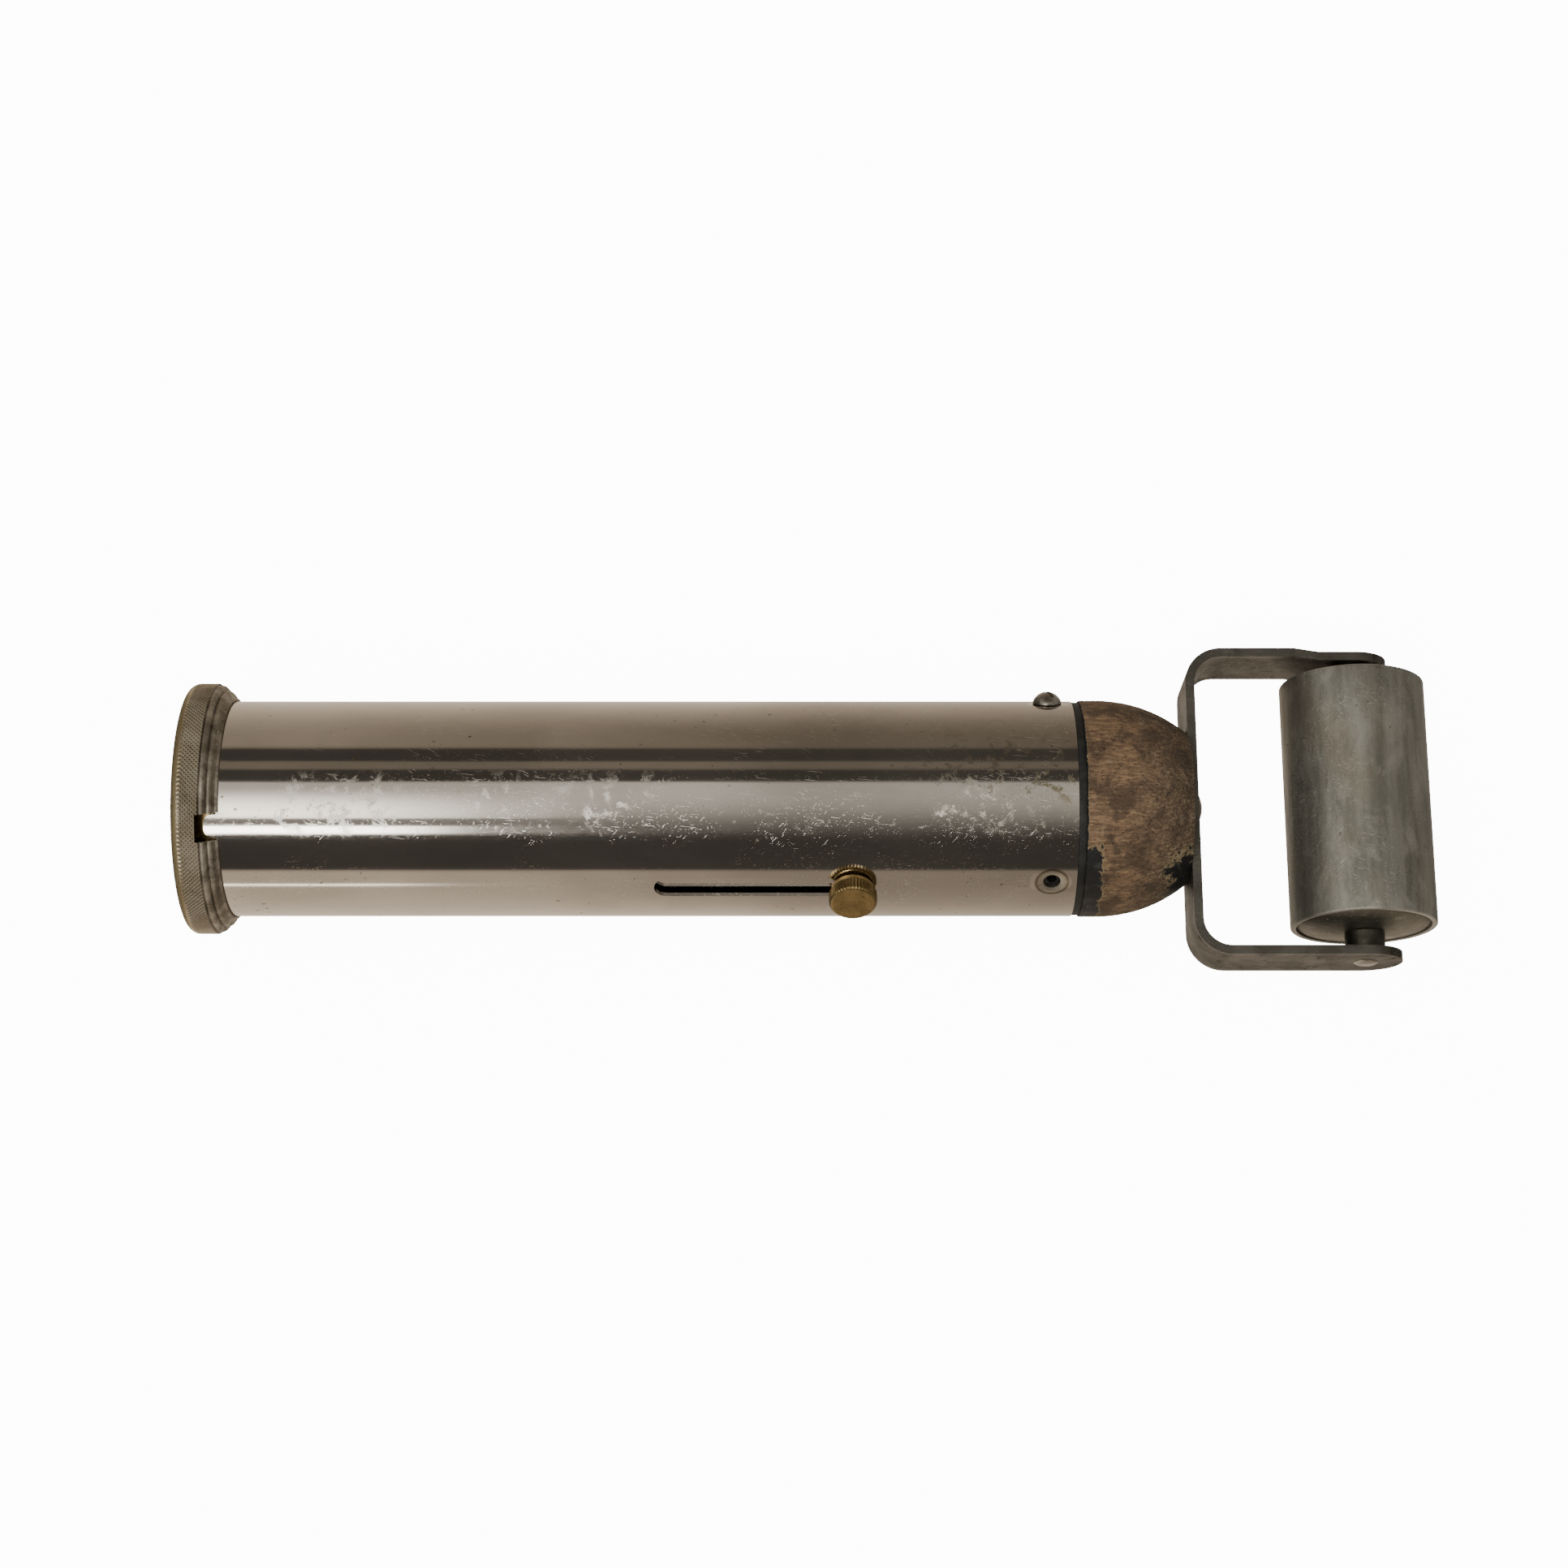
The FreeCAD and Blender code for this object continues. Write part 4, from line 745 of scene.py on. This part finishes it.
def buildYoke(material):
    # the strip's section is extruded from bend to bend, and spun round the two corners
    sizes = {"corner": 6.5, "strip": 1.6, "joggle": 0.7, "joggleNear": 11.0, "joggleFar": 6.6,
             "axleHole": 1.6, "screwHole": 1.75, "bendSteps": 14, "edge": 0.22}
    low = span("yoke", alongX)[0] / mm
    half = -span("yoke", rollerAxis)[0] / mm
    width = (span("yoke", yokeUp)[1] - span("yoke", yokeUp)[0]) / mm
    corner, strip, axleX = sizes["corner"], sizes["strip"], axleCentre.x / mm
    deselectAll()
    bpy.ops.mesh.primitive_plane_add(size=1, location=((low + strip / 2) * mm, 0, 0),
                                     rotation=(math.pi / 2, 0, 0))
    yoke = bpy.context.object
    yoke.name = "yokeFork"
    yoke.scale = (strip * mm, width * mm, 1)
    applyPlace(yoke)
    bpy.ops.object.mode_set(mode="EDIT")
    bpy.ops.mesh.select_all(action="SELECT")

    def push(x, y):
        bpy.ops.mesh.extrude_region_move(TRANSFORM_OT_translate={"value": (x * mm, y * mm, 0)})

    for way in (-1, 1):
        if way == 1:  # the first section's face starts the other half too
            bpy.ops.mesh.select_mode(type="FACE")
            bpy.ops.mesh.select_all(action="DESELECT")
            bpy.ops.object.mode_set(mode="OBJECT")
            for polygon in yoke.data.polygons:
                polygon.select = abs(polygon.center.y) < 1e-7 and abs(polygon.normal.y) > 0.9
            bpy.ops.object.mode_set(mode="EDIT")
        push(0, way * (half - corner))
        bpy.ops.mesh.spin(steps=sizes["bendSteps"], angle=way * math.pi / 2, axis=(0, 0, 1),
                          center=((low + corner) * mm, way * (half - corner) * mm, 0))
        if way == 1:
            push(axleX - sizes["joggleNear"] - low - corner, 0)
            push(sizes["joggleNear"] - sizes["joggleFar"], -sizes["joggle"])
            push(sizes["joggleFar"], 0)
        else:
            push(axleX - low - corner, 0)
    bpy.ops.mesh.select_all(action="SELECT")
    bpy.ops.mesh.remove_doubles(threshold=1e-6)
    bpy.ops.mesh.normals_make_consistent(inside=False)
    bpy.ops.object.mode_set(mode="OBJECT")
    for start in (-half, half - sizes["joggle"] - strip):
        ear = lathe("ear", [(start, 0), (start, width / 2), (start + strip, width / 2), (start + strip, 0)], 96)
        combine(yoke, settle(ear, "Y", 0, axleX * mm), "UNION")
    hole = lathe("hole", [(-half - 3, 0), (-half - 3, sizes["axleHole"]), (half + 3, sizes["axleHole"]),
                          (half + 3, 0)], 48)
    combine(yoke, settle(hole, "Y", 0, axleX * mm))
    hole = lathe("hole", [(low - 2, 0), (low - 2, sizes["screwHole"]), (low + 5, sizes["screwHole"]),
                          (low + 5, 0)], 48)
    combine(yoke, settle(hole, "X"))
    easeEdges(yoke, sizes["edge"], 3, 40)
    settle(yoke, "Z", yokeRoll)
    return finishPiece(yoke, material, "case", "steel", "yoke")


def buildAxle(material):
    sizes = {"radius": 1.6, "headRim": 0.3, "headRise": 1.2, "head": 3.15, "joggle": 0.7, "endRadius": 2.2}
    low = span("axle", rollerAxis)[0] / mm
    half = -span("yoke", rollerAxis)[0] / mm
    seat = half - sizes["joggle"]
    rings = [(low, 0), (low + 0.03, 0.9), (low + 0.2, 1.7), (-half, sizes["endRadius"]), (-half, sizes["radius"]),
             (seat, sizes["radius"])] + headRings(seat, sizes["headRim"], sizes["headRise"], sizes["head"])
    axle = lathe("axleRod", rings, 64)
    easeEdges(axle, 0.1, 2, 50)
    settle(axle, "Y", yokeRoll, axleCentre.x)
    return finishPiece(axle, material, "case", "screw_steel", "axle")


def buildRoller(barrelMaterial, discMaterial):
    sizes = {"wall": 1.0, "rimRound": 0.35, "grooveDepth": 0.55, "discWall": 1.2, "rise": 1.0, "hub": 3.6,
             "bush": 3.0, "segments": 160}
    low, high = (reach / mm for reach in span("roller_tube", rollerAxis))
    radius = span("roller_tube", yokeUp)[1] / mm
    bore, rounding = radius - sizes["wall"], sizes["rimRound"]
    rings = [(low + 0.1, bore), (low, bore + 0.15)]
    rings += arcRings(low + rounding, radius - rounding, rounding, -90, 0, 4)
    rings += [(low + (high - low) * step / 6, radius) for step in range(1, 6)]
    rings += arcRings(high - rounding, radius - rounding, rounding, 0, 90, 4)
    rings += [(high, bore + 0.15), (high - 0.1, bore)]
    barrel = lathe("rollerBarrel", rings, sizes["segments"], joinEnds=True)
    settle(barrel, "Y", yokeRoll, axleCentre.x)
    finishPiece(barrel, barrelMaterial, "roller", "zinc", "roller_tube")
    for letter, end, out in (("A", high, 1), ("B", low, -1)):
        hub = end + out * sizes["rise"]
        rings = [(end - out * (sizes["grooveDepth"] + sizes["discWall"]), bore - 0.02),
                 (end - out * sizes["grooveDepth"], bore - 0.02), (end - out * 0.35, bore - 0.55),
                 (end - out * 0.12, bore - 0.8), (end + out * 0.45, bore * 0.62),
                 (hub - out * 0.08, sizes["hub"] + 0.9), (hub, sizes["hub"]), (hub, sizes["bush"]),
                 (hub - out * sizes["discWall"], sizes["bush"])]
        disc = lathe("rollerDisc" + letter, rings, 128, joinEnds=True)
        settle(disc, "Y", yokeRoll, axleCentre.x)
        finishPiece(disc, discMaterial, "roller", "zinc", "roller_end_discs")


def buildSleeve(name, node, direction, wall, axis, turn, x, material, body, slot, ease, across=None):
    # a plain ring or sleeve, read off its CAD node
    low, high = (reach / mm for reach in span(node, direction))
    radius = span(node, across)[1] / mm if across else reachFromAxis(node) / mm
    sleeve = lathe(name, [(low, radius - wall), (low, radius), (high, radius), (high, radius - wall)], 128, True)
    easeEdges(sleeve, ease)
    settle(sleeve, axis, turn, x)
    return finishPiece(sleeve, material, body, slot, node)


# ---- the pieces

nickel = nickelFinish()
capMetal = capFinish(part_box("cap_shell")[1].z / mm, 4.8)
nutBrass = brassFinish("nutBrass", (0.34, 0.25, 0.115), (0.235, 0.17, 0.075), (0.09, 0.062, 0.03), 0.32, 3.0)
innerBrass = brassFinish("innerBrass", (0.70, 0.52, 0.24), (0.48, 0.34, 0.14), (0.20, 0.13, 0.06), 0.26)
forkSteel = steelFinish("forkSteel", (0.130, 0.126, 0.107), (0.40, 0.385, 0.345), (0.055, 0.052, 0.041), 0.42,
                        yokeRoll, 5.6, (0.2, 1, 1))
screwSteel = steelFinish("screwSteel", (0.44, 0.42, 0.38), (0.72, 0.70, 0.66), (0.20, 0.18, 0.15), 0.28)
springSteel = steelFinish("springSteel", (0.34, 0.35, 0.37), (0.6, 0.6, 0.6), (0.16, 0.16, 0.17), 0.3)
zinc = zincFinish("dullZinc")
dirtyZinc = zincFinish("dirtyZinc", 0.9)
wood = woodFinish(span("insulating_ring", alongX)[1] / mm, span("nose_dome", alongX)[1] / mm)
blackFibre = fibreFinish("blackFibre", (0.004, 0.004, 0.004), (0.012, 0.012, 0.011), 0.65)
redFibre = fibreFinish("redFibre", (0.26, 0.052, 0.030), (0.36, 0.085, 0.045), 0.55)
pitch = fibreFinish("pitchSeal", (0.012, 0.010, 0.009), (0.035, 0.028, 0.022), 0.35)
card = cardFinish("brownCard", (0.42, 0.30, 0.17), (0.26, 0.17, 0.09), 0.9)
paper = cardFinish("waxedPaper", (0.66, 0.55, 0.34), (0.46, 0.36, 0.19), 0.5)
cellZinc = steelFinish("cellZinc", (0.50, 0.52, 0.54), (0.7, 0.7, 0.7), (0.28, 0.29, 0.30), 0.45)
softIron = steelFinish("softIron", (0.14, 0.13, 0.125), (0.34, 0.33, 0.32), (0.07, 0.05, 0.04), 0.5)
copperWire = wireFinish("copperWire", (0.52, 0.20, 0.075), (0.14, 0.04, 0.018), 0.32, 0.9)
silkWire = wireFinish("silkWire", (0.06, 0.22, 0.13), (0.02, 0.08, 0.05), 0.25, 0.0)
print("finishes made")

slotFinishes = {
    "nickel": nickel, "cap_metal": capMetal, "brass": innerBrass, "steel": forkSteel,
    "screw_steel": screwSteel, "zinc": zinc, "wood": wood, "black_fibre": blackFibre, "red_fibre": redFibre,
    "card": card, "paper": paper, "pitch": pitch, "cell_zinc": cellZinc, "iron": softIron,
    "copper_wire": copperWire, "silk_wire": silkWire, "spring_steel": springSteel}
for subpart in frame["record"]["subparts"]:
    mesh = nodes[subpart["node"]].data
    mesh.materials.clear()
    mesh.materials.append(slotFinishes[subpart["material_slot"]])
print("CAD nodes painted")

buildTube(nickel)
buildCap(capMetal)
buildNut(nutBrass)
print("tube, cap and thumb nut built")
buildNose(wood)
buildNoseScrews(screwSteel)
buildYokeScrew(screwSteel)
buildYoke(forkSteel)
buildAxle(screwSteel)
print("nose, fork and axle built")
buildRoller(zinc, dirtyZinc)
buildSleeve("insulatingRing", "insulating_ring", alongX, 0.65, "X", 0, 0, blackFibre, "case", "black_fibre", 0.12)
buildSleeve("capSpigot", "cap_spigot", alongX, 0.6, "X", 0, 0, innerBrass, "end_cap", "brass", 0.12)
buildSleeve("regulatorTube", "regulator_tube", alongX, 0.8, "X", 0, 0, innerBrass, "regulator", "brass", 0.15)
print("roller and sleeves built")

# ---- floor, light and camera

floorSizes = {"side": 6.0}
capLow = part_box("cap_shell")[0].z
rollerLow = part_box("roller_tube")[0].z
lean = math.atan2(rollerLow - capLow, axleCentre.x - 4.8 * mm)
deselectAll()
bpy.ops.mesh.primitive_plane_add(size=floorSizes["side"], rotation=(0, -lean, 0),
                                 location=(0, 0, capLow - 4.8 * mm * math.tan(lean) - 0.05 * mm))
floor = bpy.context.object
floor.name = "studioFloor"
floorFinish = Finish("paleFloor")
floorFinish.shader.inputs["Roughness"].default_value = 0.9
floorFinish.shader.inputs["Emission Color"].default_value = (1.0, 1.0, 0.99, 1)
floorFinish.shader.inputs["Emission Strength"].default_value = 12.0
floor.visible_glossy = False
floor.visible_diffuse = False
floorTone = floorFinish.mix(floorFinish.noise(90.0, 2.0, 0.5), (0.86, 0.86, 0.86), (0.88, 0.88, 0.88))
floorFinish.feed(Base_Color=floorTone)
floor.data.materials.append(floorFinish.done())


def studioWorld():
    # a dark ceiling, a long soft box overhead with a lamp at its left end, a low panel, and warm walls
    lights = {"ceiling": (0.075, 0.068, 0.060), "softBox": (0.80, 0.76, 0.69), "boxFrom": -34, "boxFull": 18,
              "boxTo": 29, "panel": (0.26, 0.22, 0.175), "panelFrom": 43, "panelTo": 52,
              "wallLeft": (0.45, 0.375, 0.30), "wallRight": (0.24, 0.20, 0.155), "wallFrom": 68,
              "ground": (1.05, 0.88, 0.70), "boxEnd": (5.0, 4.85, 4.5), "lamp": (13.0, 12.7, 12.1),
              "lampAngle": -22, "lampHalf": 4, "lowLamp": (6.0, 5.6, 4.9), "lowLampAngle": -88,
              "backdrop": (12.0, 12.0, 11.9)}
    world = bpy.data.worlds.new("studioWorld")
    world.use_nodes = True
    bpy.context.scene.world = world

    class Sky(Finish):
        def __init__(self):
            self.tree = world.node_tree

    sky = Sky()
    direction = sky.node("TexCoord", {}, {}, "Generated")
    x, y, z = [sky.node("SeparateXYZ", {}, {0: direction}, axis) for axis in "XYZ"]
    lean = y.maths("ARCTAN2", z) * (180 / math.pi)
    tilt = lean.maths("ABSOLUTE")
    box = lean.fade(lights["boxFrom"], lights["boxFull"]) * lean.fade(lights["boxTo"] + 1, lights["boxTo"] - 1)
    lit = sky.mix(box, lights["ceiling"], lights["softBox"])
    panel = lean.fade(lights["panelFrom"] - 1, lights["panelFrom"] + 1)
    panel = panel * lean.fade(lights["panelTo"] + 1, lights["panelTo"] - 1)
    lit = sky.mix(panel, lit, lights["panel"])
    wall = sky.mix(lean.fade(60, -60), lights["wallRight"], lights["wallLeft"])
    wall = sky.mix(tilt.fade(80, 180), wall, lights["ground"])
    lit = sky.mix(tilt.fade(lights["wallFrom"] - 2, lights["wallFrom"] + 2), lit, wall)
    # the left wall is nearer, the box is brightest at its left end, and both lamps stand there
    nearWall = tilt.fade(66, 72) * x.fade(0.0, -0.15)
    lit = sky.mix(nearWall * (lean.fade(60, -60) * 0.25 + 0.15), lit, (1.25, 1.08, 0.86))
    boxEnd = lean.fade(24, -5) * lean.fade(-10.5, -8.0) * x.fade(-0.065, -0.165)
    lit = sky.mix(boxEnd, lit, lights["boxEnd"])
    left = x.fade(-0.105, -0.135)
    lamp = (lean - lights["lampAngle"]).maths("ABSOLUTE").fade(lights["lampHalf"] + 0.5, lights["lampHalf"] - 0.5)
    lit = sky.mix(lamp * left, lit, lights["lamp"])
    lowLamp = (lean - lights["lowLampAngle"]).maths("ABSOLUTE").fade(2.4, 0.8) * left
    lit = sky.mix(lowLamp * 0.6, lit, lights["lowLamp"])
    lit = sky.mix(x.near(0.05, 0.08).fade(0.0, 0.4) * 0.25, lit, lights["ceiling"])
    # toward the ends the lights give way to plain walls, with one pale window at the left
    ends = x.maths("ABSOLUTE").fade(0.40, 0.62)
    window = x.near(-0.62, 0.20)
    walls = sky.mix(x.fade(-0.2, 0.5), (0.13, 0.125, 0.105), (0.30, 0.275, 0.235))
    lit = sky.mix(ends, lit, sky.mix(window * z.fade(0.0, 0.3), walls, (1.1, 1.04, 0.94)))
    # what the camera sees past the floor's edge is as pale as the floor
    seen = sky.node("LightPath", {}, {}, "Is Camera Ray")
    lit = sky.mix(seen, lit, lights["backdrop"])
    sky.tree.links.new(lit.socket, world.node_tree.nodes["Background"].inputs["Color"])


studioWorld()


def softLight(name, power, size, place, aim, glossy=True):
    deselectAll()
    bpy.ops.object.light_add(type="AREA", location=place)
    light = bpy.context.object
    light.name = name
    light.data.shape = "DISK"
    light.data.size = size
    light.data.energy = power
    light.rotation_euler = (Vector(aim) - Vector(place)).to_track_quat("-Z", "Y").to_euler()
    light.visible_glossy = glossy
    return light


middle = (0.11, 0, 0)
softLight("overhead", 10.0, 1.2, (0.05, 0.15, 1.3), middle, False)
softLight("window", 4.0, 0.9, (-0.5, 0.9, 0.8), middle, False)
softLight("fill", 2.5, 0.9, (0.8, -0.7, 0.7), middle, False)

cameraSizes = {"lens": 71.2, "sensor": 36.0, "place": (0.1048, 0.0044, 0.55)}
bpy.ops.object.camera_add(location=cameraSizes["place"], rotation=(0, 0, 0))
camera = bpy.context.object
camera.data.lens = cameraSizes["lens"]
camera.data.sensor_width = cameraSizes["sensor"]
camera.data.clip_start = 0.01
bpy.context.scene.camera = camera
print("stage set")
